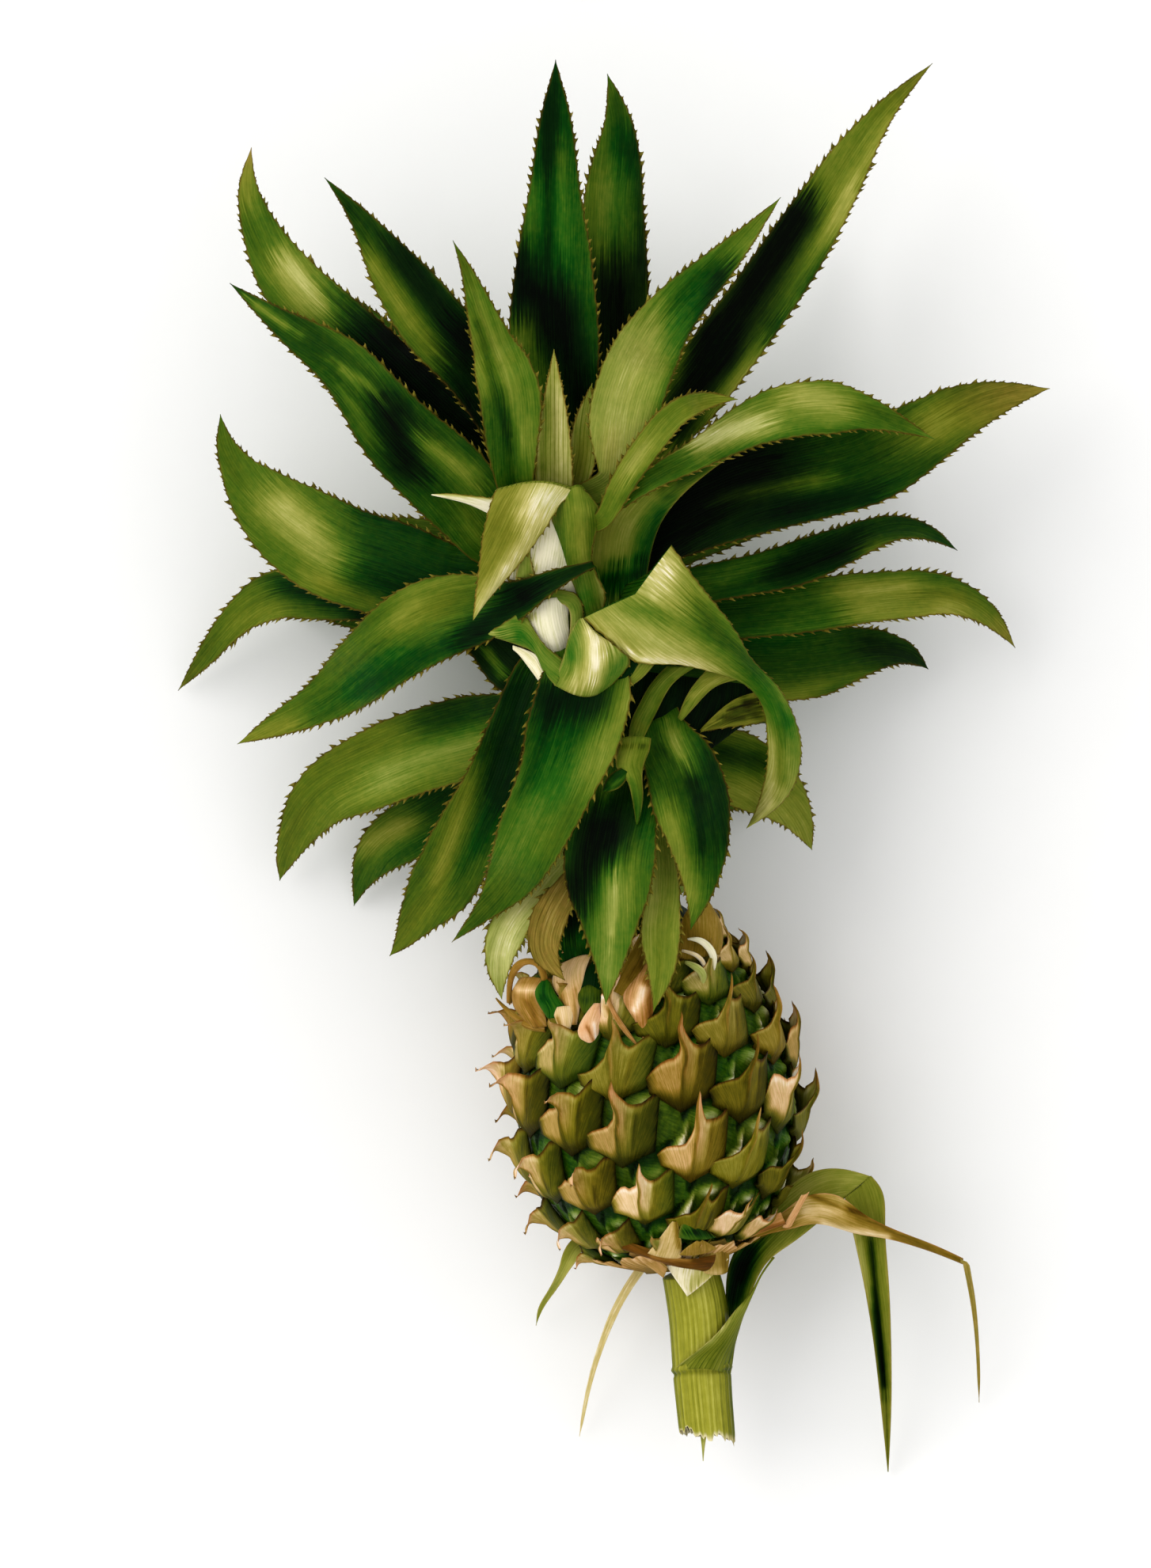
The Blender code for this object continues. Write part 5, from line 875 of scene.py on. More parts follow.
def fruitlets():
    """Every fruitlet: its foot's arc length, its angle, and its scale across and up."""
    out = []
    for j in range(-4, 9):
        for k in range(COLUMNS):
            w = j + 2*(k - 2)/7.0
            if w < -.15 or w > 7.4:
                continue
            s = np.interp(w, TURN_AT, TURN_S)
            a0 = float(arc_of(s))
            pitch = float(arc_of(np.interp(w + .5, TURN_AT, TURN_S)) - arc_of(np.interp(w - .5, TURN_AT, TURN_S)))
            r = float(np.interp(a0 + .35*pitch, _arc, _r))
            out.append((w, a0, (k + .5)*STEP + .2917, STEP*r/WIDE, max(pitch, 6)/TALL, j, k))
    return out


def eye_material():
    """Fruitlet eyes: dark waxy green; their tone brings pale rays on the flank by the keel (partly painted highlight)
    and grooves painted almost black as shade.
    """
    n = Net("fruitlet_eye", .5, .04)
    across, along, seed = n.split(n.attr("leafco").outputs["Vector"])
    tone, warm = (n.attr(k).outputs["Fac"] for k in ("tone", "warm"))
    rays = n.noise(n.join(n.math("MULTIPLY", across, 1.5), n.math("MULTIPLY", along, .16), seed), 1.0, 3, .6)
    spots = n.noise(n.join(n.math("MULTIPLY", across, .35), n.math("MULTIPLY", along, .35), seed), 1.0, 4, .6)
    t = n.math("ADD", tone, n.math("MULTIPLY", n.math("SUBTRACT", rays, .5), .4))
    t = n.math("ADD", t, n.math("MULTIPLY", n.math("SUBTRACT", spots, .5), .2), clamp=True)
    w = n.math("ADD", warm, n.math("MULTIPLY", n.math("SUBTRACT", spots, .5), .6), clamp=True)
    n.colour(n.mix(w, n.ramp(t, ((0, srgb(0, 8, 1)), (.25, srgb(6, 48, 0)), (.42, srgb(44, 86, 4)), (.6, srgb(96, 124, 40)), (.78, srgb(150, 168, 104)), (1, srgb(240, 240, 214)))), n.ramp(t, WARM)))
    n.rough(n.math("ADD", n.math("MULTIPLY", spots, .25), .3))
    n.bump(n.math("ADD", rays, n.math("MULTIPLY", spots, 1.5)), .0003, .7)
    return n.mat


def bract_material():
    """Fruit bracts: golden olive skin with red-brown margins and cream, faintly pink flanks; their tone also carries
    painted highlights and painted shade.
    """
    n = Net("fruit_bract", .6, .03)
    across, along, seed = n.split(n.attr("leafco").outputs["Vector"])
    tone, warm, dry, rib = (n.attr(k).outputs["Fac"] for k in ("tone", "warm", "dry", "rib"))
    fine = n.noise(n.join(n.math("MULTIPLY", across, 2.0), n.math("MULTIPLY", along, .10), seed), 1.0, 3, .6)
    spots = n.noise(n.join(n.math("MULTIPLY", across, .4), n.math("MULTIPLY", along, .25), seed), 1.0, 4, .6)
    f = n.math("SUBTRACT", fine, .5)
    t = n.math("ADD", tone, n.math("MULTIPLY", f, .34))
    t = n.math("ADD", t, n.math("MULTIPLY", n.math("SUBTRACT", spots, .5), .18), clamp=True)
    base = n.ramp(t, ((0, srgb(18, 16, 0)), (.25, srgb(64, 58, 0)), (.45, srgb(112, 102, 12)), (.62, srgb(148, 138, 46)), (.8, srgb(208, 192, 126)), (1, srgb(252, 242, 216))))
    green = n.ramp(t, ((0, srgb(6, 20, 0)), (.25, srgb(40, 60, 4)), (.45, srgb(88, 100, 20)), (.62, srgb(128, 138, 54)), (.8, srgb(192, 192, 122)), (1, srgb(246, 242, 214))))
    red = n.ramp(t, ((0, srgb(40, 14, 0)), (.3, srgb(106, 58, 12)), (.5, srgb(156, 100, 42)), (.7, srgb(214, 158, 106)), (.86, srgb(240, 200, 160)), (1, srgb(252, 238, 220))))
    c = n.mix(n.math("ADD", warm, n.math("MULTIPLY", n.math("SUBTRACT", spots, .5), .6), clamp=True), green, base)
    c = n.mix(n.math("ADD", dry, n.math("MULTIPLY", n.math("MULTIPLY", f, dry), 1.4), clamp=True), c, red)
    n.colour(c)
    n.rough(n.math("ADD", n.math("MULTIPLY", spots, .3), .4))
    n.bump(n.math("ADD", fine, n.math("MULTIPLY", spots, .8)), .00022, .8)
    return n.mat


EYE = eye_material()
BRACT = bract_material()
KEEL_Y = np.array((0, 10, 15, 20, 25, 31.0))
KEEL_X = np.array((0, .4, 1.9, 3.8, 5.2, 6.6))


def fruit_body(cells):
    rows, n = 176, 300
    arc = np.linspace(arc_of(0.0), ARC_TOP, rows)
    a = np.arange(n)*2*math.pi/n
    A, G = np.meshgrid(arc, a, indexing="ij")
    best = np.full(A.shape, -9.0)
    X0, Y0, seed = np.zeros(A.shape), np.full(A.shape, 12.0), np.zeros(A.shape)
    r = np.interp(A, _arc, _r)
    for w, a0, ang, fx, fy, j, k in cells:
        d = (G - ang + math.pi) % (2*math.pi) - math.pi
        X = -d*r/fx                      # the local x axis runs clockwise, like the plan's
        Y = (A - a0)/fy
        low = np.where(X < 0, -X*10/10.4, X*5/17.4 - .03*np.maximum(X - 17.4, 0))
        inside = (Y >= low) & (X >= -10.4 + (Y - 10)*.86) & (X < 29) & (np.abs(d) < 1.3)
        hit = inside & (w > best)
        best = np.where(hit, w, best)
        X0, Y0 = np.where(hit, X, X0), np.where(hit, Y, Y0)
        seed = np.where(hit, (math.sin(w*91.7 + k*12.9)*437.5) % 1, seed)
    left = (X0 + 10.4 - (Y0 - 10)*.86)*.72
    keel = np.interp(Y0, KEEL_Y, KEEL_X)
    on_left = smooth(1.5, -1.5, X0 - keel)
    grow = np.sin(math.pi*np.clip((A - arc[0])/(arc[-1] - arc[0]), .03, .97))**.5
    lens = np.exp(-(((X0 - keel - 10)/6.5)**2 + ((Y0 - 21.5)/3.2)**2))
    lost = best < -8
    z = on_left*(-2.5 + 3.5*smooth(0, 6.5, left)) + (1 - on_left)*(-2.0 + 1.9*lens)
    z = np.where(lost, -1.6, z)
    z = (z - .6 + .35*np.sin(X0*.9 + seed*6)*np.cos(Y0*.6 + seed*9))*grow
    p = on_fruit(A, G, z)
    ends = np.array([P0 + 1.0*FT, P1 + 0.5*FT])
    v = np.concatenate([p.reshape(-1, 3), ends])
    i = np.arange(n)
    j = (i + 1) % n
    faces = [grid_faces(rows, n, wrap=True), np.stack([j, i, np.full(n, rows*n)], -1),
             np.stack([(rows-1)*n + i, (rows-1)*n + j, np.full(n, rows*n + 1)], -1)]
    rays = smooth(.8, 5.2, left)
    # painted shade: darker along the left groove of each eye and at its top under the next bract's foot; painted
    # highlight on the lens right of the keel; the pale rays are partly the eye's own streaks and partly painted
    # highlight
    tone = on_left*(.05 + .25*smooth(1.1, 2.7, left) + (.42 + .64*seed)*rays**1.6*smooth(28, 20, Y0)*smooth(7.5, 11.5, Y0) - .20*smooth(24, 29, Y0)) + (1 - on_left)*(.33 - .16*smooth(23.5, 27, Y0) + (.22 + .42*(seed > .35)*seed)*lens)
    # the grooves between cells are painted almost black, as shade
    tone = np.where(lost, .12, tone)
    warm = .30 + .40*(seed > .5)*on_left*rays + .22*np.sin(seed*40)
    co = np.stack([np.arctan2(X0 - keel + 14, 30 - Y0)*26, np.hypot(X0 - keel + 14, 30 - Y0), seed*80], -1).reshape(-1, 3)
    pad = lambda x, q: np.concatenate([np.asarray(x).ravel(), [q, q]])
    A_ = {"leafco": np.concatenate([co, co[:2]]), "tone": np.clip(pad(tone, .3), 0, 1), "warm": np.clip(pad(warm, .8), 0, 1)}
    return put_piece("fruit_body", v, faces, EYE, A_, node="fruit")


# the free edge of a bract, left shoulder to right, with its point in the middle
EDGE_U = np.array((-1, -.75, -.45, -.24, -.18, -.13, -.09, -.06, -.03, 0, .03, .06, .09, .13, .18, .24, .42, .70, 1))
EDGE_X = np.array((-14.6, -10.6, -5.2, -1.4, 1.2, 2.9, 4.3, 5.4, 6.2, 6.7, 7.0, 7.3, 7.7, 8.3, 9.2, 10.8, 14.2, 19.2, 24.2))
EDGE_Y = np.array((11.4, 12.2, 13.0, 14.4, 16.8, 19.8, 23.6, 27.6, 30.8, 32.2, 30.8, 27.8, 24.8, 22.4, 20.8, 19.8, 19.9, 22.4, 23.6))
COLS_U = np.array((-1, -.86, -.7, -.54, -.38, -.24, -.18, -.13, -.09, -.06, -.03, 0, .03, .06, .09, .13, .18, .24, .34, .46, .58, .7, .82, .92, 1))


def one_bract(cell, rng):
    """One fruit bract: a keeled sheet that clasps the fruitlet, low on its left, and ends in a curled point."""
    w, a0, ang, fx, fy, jj, kk = cell
    fx, fy = fx*rng.uniform(.96, 1.06), fy*rng.uniform(.95, 1.10)
    ang = ang + rng.uniform(-.035, .035)
    a0 = a0 + rng.uniform(-1.0, 1.0)*fy
    size = min(1.0, .25 + .75*math.sqrt(fx*fy))
    rows = 26
    u = COLS_U
    q = 1 - (1 - np.linspace(0, 1, rows))**1.3
    bx = np.where(u < 0, u*13.0, u*17.0)
    by = np.where(u < 0, -u*8.4, u*4.4) - 2.4 + .5*np.sin(np.abs(u)*math.pi)
    ex, ey = np.interp(u, EDGE_U, EDGE_X), np.interp(u, EDGE_U, EDGE_Y)
    ey = ey + rng.uniform(-.9, .9)*np.sin(u*7)*(np.abs(u) > .2) + rng.uniform(-1.4, 1.0)*smooth(.2, .5, u) + rng.uniform(-1.2, 1.2)*smooth(-.2, -.5, u)*smooth(-1, -.8, u)
    fan = max(0.0, rng.uniform(-.7, 1.0))   # some spread their left flank up to the point
    ey = ey + fan*np.interp(u, (-1, -.8, -.45, -.2, -.1), (1.0, 4.6, 8.0, 5.0, 0))
    ex = ex + fan*np.interp(u, (-1, -.8, -.45, -.2, -.1), (2.0, 2.6, 2.0, .8, 0))
    stretch = 1 + rng.uniform(-.04, .16)
    X = bx[None, :] + q[:, None]*(ex - bx)[None, :]
    Y = by[None, :] + q[:, None]*(ey - by)[None, :]
    Y = np.where(Y > 13, 13 + (Y - 13)*stretch, Y)
    U = np.broadcast_to(u[None, :], X.shape)
    Q = np.broadcast_to(q[:, None], X.shape)
    keel = np.interp(Y, KEEL_Y, KEEL_X)
    lean = rng.uniform(-3.0, 2.2)
    sway = rng.uniform(-1.3, 1.3)
    near = np.exp(-((X - keel)/4.2)**2)
    X = X + (lean*smooth(14, 31, Y) + sway*np.sin(np.clip((Y - 12)/20, 0, 1)*2*math.pi))*near
    side = math.cos(ang)
    left, right = smooth(.25, .9, -side), smooth(.25, .9, side)
    # height off the skin: a sharp keel, a hollow left flank, a full right one
    rise = np.interp(Y, (0, 5, 10, 15, 20, 31), (.6, 2.6, 4.4, 5.4, 5.9, 6.3))
    g = np.exp(-(np.abs(U)/np.where(U < 0, .30, .22))**1.15)
    body = np.where(U < 0, 1.7 - 1.1*np.abs(U), 1.7*np.sin(math.pi*np.clip(U, 0, 1)**.75) - 1.2*np.clip(U, 0, 1)**3)
    Z = rise*g + body*(1 - g)
    Z = Z*smooth(0, .22, Q) - 1.5*(1 - smooth(0, .2, Q))
    Z = Z + .7*smooth(.8, 1, Q)*(np.abs(U) > .2)*smooth(1, .8, np.abs(U)) + .25*np.sin(U*11 + rng.uniform(0, 6))*Q
    # the free point: stands off, hooks down on one side of the fruit, flares up on the other
    l = np.linspace(0, 1, 40)
    low = float(smooth(1.6, .4, w))
    hook = left*(1 - low)*(.5 + .5*rng.random())
    th = np.radians(12 + 10*rng.random() + 22*(rng.random() - .3)*l + hook*(30 + (96 + 40*rng.random())*smooth(.30, .8, l))
                    + right*(10 - (38 + 14*rng.random())*smooth(.25, 1, l)) - low*10)
    reach = 18*stretch*(.9 - .36*left - .22*right - .35*low*(1 - left))
    py = np.concatenate([[0], np.cumsum(np.cos(th[:-1]))])*reach/39
    pz = np.concatenate([[0], np.cumsum(np.sin(th[:-1]))])*reach/39
    free = np.clip((Y - 13)/(18*stretch), 0, 1)*near
    Yn = Y - free*18*stretch + np.interp(free, l, py)
    Zn = Z + np.interp(free, l, pz)
    twist = rng.uniform(-.5, .5)
    Zn = Zn + twist*(X - keel)*smooth(.2, 1, free)
    Xs, Ys, Zs = X*fx, Yn*fy, Zn*size
    r = np.interp(a0 + np.minimum(Ys, 30), _arc, _r)
    mid = on_fruit(a0 + Ys, ang - Xs/np.maximum(r, 9), Zs)
    du, dq = np.gradient(mid, axis=1), np.gradient(mid, axis=0)
    nr = np.cross(dq, du)
    nr /= np.maximum(np.linalg.norm(nr, axis=2), 1e-9)[..., None]
    th = .42*size*np.interp(Q, (0, .7, 1), (1, .9, .35))*(1 - .5*smooth(0, 1, free))
    v, faces = skin_sheet(mid, nr, th)
    faces = [f[:, ::-1] for f in faces]
    # paint: the bract's own olive, pink and red-brown, with painted light laid into the tone below
    # painted light: bracts on the fruit's side toward the lamp more often get pale pink flanks
    lit = smooth(.55, -.5, side)
    pink = max((rng.random() < .36 + .34*lit)*rng.uniform(.35, .95), min(1, 1.3*fan))
    # painted shade at the foot and on the right flank, a painted highlight band right of the keel; lighter towards the
    # point
    tone = .335 + .115*rng.random() - .25*smooth(.20, .0, Q) - .10*smooth(.45, 1, U) + .07*smooth(12, 24, Y) + .08*np.exp(-((U - .3)/.16)**2)*smooth(.2, .6, Q)
    # the left flank is lighter, most on pink bracts: partly own pale pink colour, partly painted highlight
    flank = smooth(-.02, -.12, U)*smooth(-1.05, -.6, U)*smooth(.12, .4, Q)
    tone = tone + flank*(.14 + .40*pink)
    # a pale pink strip by the keel, partly own colour and partly painted highlight; a painted highlight on the keel's
    # edge and a painted shade line left of it
    strip = np.exp(-(np.maximum(U - .06, 0)/rng.uniform(.05, .22))**2)*(U > 0)*smooth(.2, .5, Q)*pink
    tone = tone + .30*strip + .20*np.exp(-((U - .015)/.022)**2)*smooth(.1, .4, Q) - .16*np.exp(-((U + .10)/.05)**2)*smooth(.3, .8, Q)*(1 - pink)
    tone = tone + rng.uniform(-.09, .11) - .10*smooth(.86, 1, np.abs(U))
    # a painted highlight on the facet before the crease, painted shade in the crease and right of it; a lighter band
    # just inside the top edge, a painted dark contact-shadow line along the top edge, darker towards the side edges
    bend = .30 + .10*rng.random() - .10*(1 - Q)
    tone = tone + (.07 + .08*rng.random() + .05*pink)*smooth(.02, .06, U)*smooth(bend, bend - .07, U)*smooth(.06, .4, Q) - .17*np.exp(-((U - bend)/.035)**2)*smooth(.1, .4, Q)
    tone = tone - .12*smooth(bend + .05, .85, U)*smooth(.35, .9, Q) + .12*np.exp(-((Q - .90)/.05)**2)*(np.abs(U) > .1)
    tone = tone - .30*smooth(.945, .985, Q)*smooth(.03, .12, np.abs(U)) - .14*smooth(.88, 1, np.abs(U))
    rim = np.clip(smooth(.90, 1, Q)*.8 + .7*np.exp(-(U/.035)**2)*smooth(.2, .5, Q) + smooth(22, 30, Y)*.7, 0, 1)
    warm = .15 + .85*rng.random() - .55*smooth(.3, .8, U)*rng.random()
    dry = np.clip(.5*rim + flank*.6*pink + .5*strip + .24*rng.random()**2, 0, 1)
    co = np.stack([np.arctan2(X, Y + 9)*24, np.hypot(X, Y + 9), np.full(X.shape, rng.uniform(0, 90))], -1).reshape(-1, 3)
    f = lambda x, k=1.0: np.concatenate([np.asarray(x).ravel(), np.asarray(x).ravel()*k])
    return v, faces, {"leafco": np.concatenate([co, co]), "tone": np.clip(f(tone, .8), 0, 1), "warm": np.clip(f(warm), 0, 1),
                      "dry": f(dry), "rib": f(tone*0)}


def join_sheets(parts):
    V, F, A, at = [], [], {}, 0
    for v, faces, attrs in parts:
        V.append(v)
        F += [np.asarray(f) + at for f in faces]
        for key, value in attrs.items():
            A.setdefault(key, []).append(value)
        at += len(v)
    return np.concatenate(V), F, {k: np.concatenate(x) for k, x in A.items()}


def fruit_collar():
    """The dry, ribbed collar of old bracts where the stalk enters the fruit."""
    rng = np.random.default_rng(77)
    n, rows = 252, 22
    a = np.arange(n)*2*math.pi/n
    q = np.linspace(0, 1, rows)
    wave = np.abs(np.sin(a*3.5 + .9 + .5*np.sin(a*2)))**.8
    top = 12.0 + 7.5*wave + .8*np.sin(a*17) + .5*np.sin(a*31 + 1)
    arc = -1.0 + q[:, None]*(top + 1.0)[None, :]
    z = .5 + 1.1*q[:, None] + .9*(q[:, None]**3)*(1.2*wave + .3*np.sin(a*23))[None, :] + .22*np.sin(a*63 + 2*np.sin(a*5))[None, :]*q[:, None]
    ang = np.broadcast_to(a[None, :], arc.shape) + .05*np.sin(q*3)[:, None]
    v_out = on_fruit(arc, ang, z)
    v_in = on_fruit(arc - .15, ang, z - .5 - .8*(1 - q[:, None]))
    outer = grid_faces(rows, n, wrap=True)
    m = rows*n
    i = np.arange(n)
    j = (i + 1) % n
    rim = np.stack([(rows - 1)*n + i, (rows - 1)*n + j, m + (rows - 1)*n + j, m + (rows - 1)*n + i], -1)
    foot = np.stack([j, i, m + i, m + j], -1)
    v = np.concatenate([v_out.reshape(-1, 3), v_in.reshape(-1, 3)])
    tone = .34 + .20*q[:, None] + .16*wave[None, :]*q[:, None] + .10*np.sin(a*63 + 2*np.sin(a*5))[None, :]*q[:, None] - .25*np.exp(-((q - .45)/.06)**2)[:, None]*(np.sin(a*7 + 1) > .2)
    tone = tone + rng.uniform(-.02, .02, tone.shape)
    dry = .35 + .35*q[:, None] + 0*a[None, :]
    co = np.stack([ang*22, arc, np.full(arc.shape, 5.0)], -1).reshape(-1, 3)
    two = lambda x: np.concatenate([np.asarray(x).ravel(), np.asarray(x).ravel()*.8])
    return put_piece("fruit_collar", v, [outer, outer[:, ::-1] + m, rim, foot], BRACT,
                     {"leafco": np.concatenate([co, co]), "tone": np.clip(two(tone), 0, 1), "warm": np.full(2*m, .9), "dry": np.clip(two(dry), 0, 1), "rib": np.zeros(2*m)})


def pressed(v, soft_at=5.0, least=.5):
    """Whatever would reach through the ground is bent flat along it, as the fruit's weight does."""
    z = v[:, 2] + ORIGIN[2]
    give = soft_at - least
    low = z < soft_at
    z = np.where(low, least + give*np.exp((np.minimum(z, soft_at) - soft_at)/give), z)
    return np.concatenate([v[:, :2], (z - ORIGIN[2])[:, None]], -1)


def make_fruit():
    cells = fruitlets()
    fruit_body(cells)
    fruit_collar()
    for j in sorted({c[5] for c in cells}):
        rng = np.random.default_rng(500 + j)
        parts = [one_bract(c, rng) for c in cells if c[5] == j and c[0] > .9]
        if not parts:
            continue
        v, f, a = join_sheets(parts)
        v = pressed(v)
        put_piece(f"fruit_bracts_{j + 5:02d}", v, f, BRACT, a)


# ------------------------------------------------------------- the crown's stem
def crown_stem():
    rows, n = 150, 132
    rings, c, T, U, V, r = round_rows(CORE_PATH, CORE_RADIUS, n, rows)
    a = np.arange(n)*2*math.pi/n
    s = np.linspace(0, 1, rows)
    ribs = .22*np.sin(a*34 + 1.7*np.sin(s[:, None]*9))
    coats = np.zeros((rows, n))
    for k in range(9):                   # old leaf bases that clasp the stem, one over another
        at = .04 + .1*k
        turn = a - k*2.399
        lip = at + .045*np.cos(turn) + .02*np.cos(3*turn + k)
        d = s[:, None] - lip[None, :]
        coats += np.where(d > 0, 0, 1.0)*.0 + .9*np.exp(-(d/.03)**2)*(d < 0) + .35*np.exp(-(np.maximum(d, 0)/.008)**2)*(d >= 0)
    out = (ribs + coats)*np.sin(math.pi*np.clip(s, .03, .97))[:, None]**.3
    direction = (rings - c[:, None])/r[:, None, None]
    p = rings + out[..., None]*direction - .9*direction
    tip = c[-1] + 4*T[-1]
    v = np.concatenate([p.reshape(-1, 3), [c[0], tip]])
    i = np.arange(n)
    j = (i + 1) % n
    faces = [grid_faces(rows, n, wrap=True), np.stack([j, i, np.full(n, rows*n)], -1),
             np.stack([(rows-1)*n + i, (rows-1)*n + j, np.full(n, rows*n + 1)], -1)]
    tone = .60 + .08*np.sin(a*3 + s[:, None]*7) - .16*(coats < .05) + .03*np.sin(a*34 + 1.7*np.sin(s[:, None]*9))
    tone = np.clip(tone, .2, 1)
    warm = .45 + .3*np.sin(a*2 + s[:, None]*5)
    co = np.stack([np.broadcast_to(a*20, (rows, n)), np.broadcast_to(s[:, None]*160, (rows, n)), np.full((rows, n), 3.0)], -1).reshape(-1, 3)
    pad = lambda x: np.concatenate([np.asarray(x).ravel(), [.7, .7]])
    A = {"leafco": np.concatenate([co, co[:2]]), "tone": pad(tone), "warm": np.clip(pad(warm), 0, 1),
         "dry": np.zeros(rows*n + 2), "rib": np.full(rows*n + 2, .8)}
    put_piece("crown_stem_coats", v, faces, LEAF, A, node="crown_stem")
    clasping_bases()


def clasping_bases():
    """Broad old leaf bases round the sides and underside of the crown's stem."""
    rows = 120
    c, T, U, V, r = round_rows(CORE_PATH, CORE_RADIUS, 16, rows)[1:6]
    at = np.arange(rows)/(rows - 1)
    full = np.linalg.norm(np.diff(c, axis=0), axis=1).sum()
    read = lambda q, x: np.stack([np.interp(x, at, q[:, i]) for i in range(3)], -1)
    for k in range(38):
        rng = np.random.default_rng(400 + k)
        turn = k*2.399 + .4
        s0 = .002 + .70*max(0, k - 8)/30
        out = math.cos(turn)*read(U, [s0])[0] + math.sin(turn)*read(V, [s0])[0]
        if out[2] > .12:
            continue
        length = rng.uniform(40, 54)
        t = np.linspace(0, 1, 36)
        x = np.clip(s0 + t*length/full, 0, 1)
        cc, TT, UU, VV, rr = read(c, x), read(T, x), read(U, x), read(V, x), np.interp(x, at, r)
        wide = rng.uniform(.85, 1.1)*(1 - t**2.4)*(.8 + .2*np.minimum(1, t*5)) + .01
        u = np.linspace(-1, 1, 15)
        a = turn + u[None, :]*wide[:, None] + .18*t[:, None]**2*rng.uniform(-1, 1)
        flare = rng.uniform(3, 8)*(1 - .55*(out[2] > -.3))
        R = rr[:, None] + .9 + .8*t[:, None] + flare*t[:, None]**3 - .9*(u**2)[None, :] + .12*np.cos(u*22)[None, :]
        way = np.cos(a)[..., None]*UU[:, None] + np.sin(a)[..., None]*VV[:, None]
        dress(cc[:, None] + R[..., None]*way, way, t*length, u, np.maximum(rr*wide, .2),
              dict(tone=rng.uniform(.46, .64), warm=rng.uniform(.3, .8), edge=.35, rib=.25), rng, (), (.6, .6), .5, f"leaf_base_{k:02d}")


# ------------------------------------------------------------- the stalk
def stalk_material():
    n = Net("stalk_skin", .55, .08)
    across, along, seed = n.split(n.attr("leafco").outputs["Vector"])
    tone, warm, dry, rib = (n.attr(k).outputs["Fac"] for k in ("tone", "warm", "dry", "rib"))
    fine = n.noise(n.join(n.math("MULTIPLY", across, 1.8), n.math("MULTIPLY", along, .05), seed), 1.0, 3, .6)
    spots = n.noise(n.join(n.math("MULTIPLY", across, .3), n.math("MULTIPLY", along, .2), seed), 1.0, 4, .6)
    t = n.math("ADD", tone, n.math("MULTIPLY", n.math("SUBTRACT", fine, .5), .34))
    t = n.math("ADD", t, n.math("MULTIPLY", n.math("SUBTRACT", spots, .5), .2), clamp=True)
    skin = n.ramp(t, ((0, srgb(14, 30, 2)), (.25, srgb(66, 78, 6)), (.45, srgb(116, 118, 18)), (.62, srgb(154, 152, 44)), (.8, srgb(194, 190, 88)), (1, srgb(238, 232, 176))))
    cut = n.ramp(t, ((0, srgb(110, 92, 44)), (.4, srgb(190, 176, 116)), (.7, srgb(232, 222, 176)), (1, srgb(250, 246, 226))))
    n.colour(n.mix(dry, skin, cut))
    n.rough(n.math("ADD", n.math("MULTIPLY", spots, .25), .28))
    n.bump(n.math("ADD", fine, n.math("MULTIPLY", spots, .6)), .0003, .8)
    return n.mat


STALK = stalk_material()


def stalk_round(rows, n, a0=0.0, a1=2*math.pi, s0=0.0, s1=1.0, out=0.0):
    p = np.array([(*to_plan(a, b), c) for a, b, c in STALK_PATH])
    d = np.concatenate([[0], np.cumsum(np.linalg.norm(np.diff(p, axis=0), axis=1))])
    full = d[-1]
    d = d/full
    s = np.linspace(s0, s1, rows)
    c = spline(d, p, s)
    T = spline(d, p, np.minimum(s + .002, 1)) - spline(d, p, np.maximum(s - .002, 0))
    T /= np.linalg.norm(T, axis=1)[:, None]
    r = soft(d, STALK_RADIUS, np.clip(s, 0, 1))
    U = np.cross(T, (0, 0, 1.0))
    U /= np.linalg.norm(U, axis=1)[:, None]
    V = np.cross(U, T)
    return s, c, T, U, V, r, full


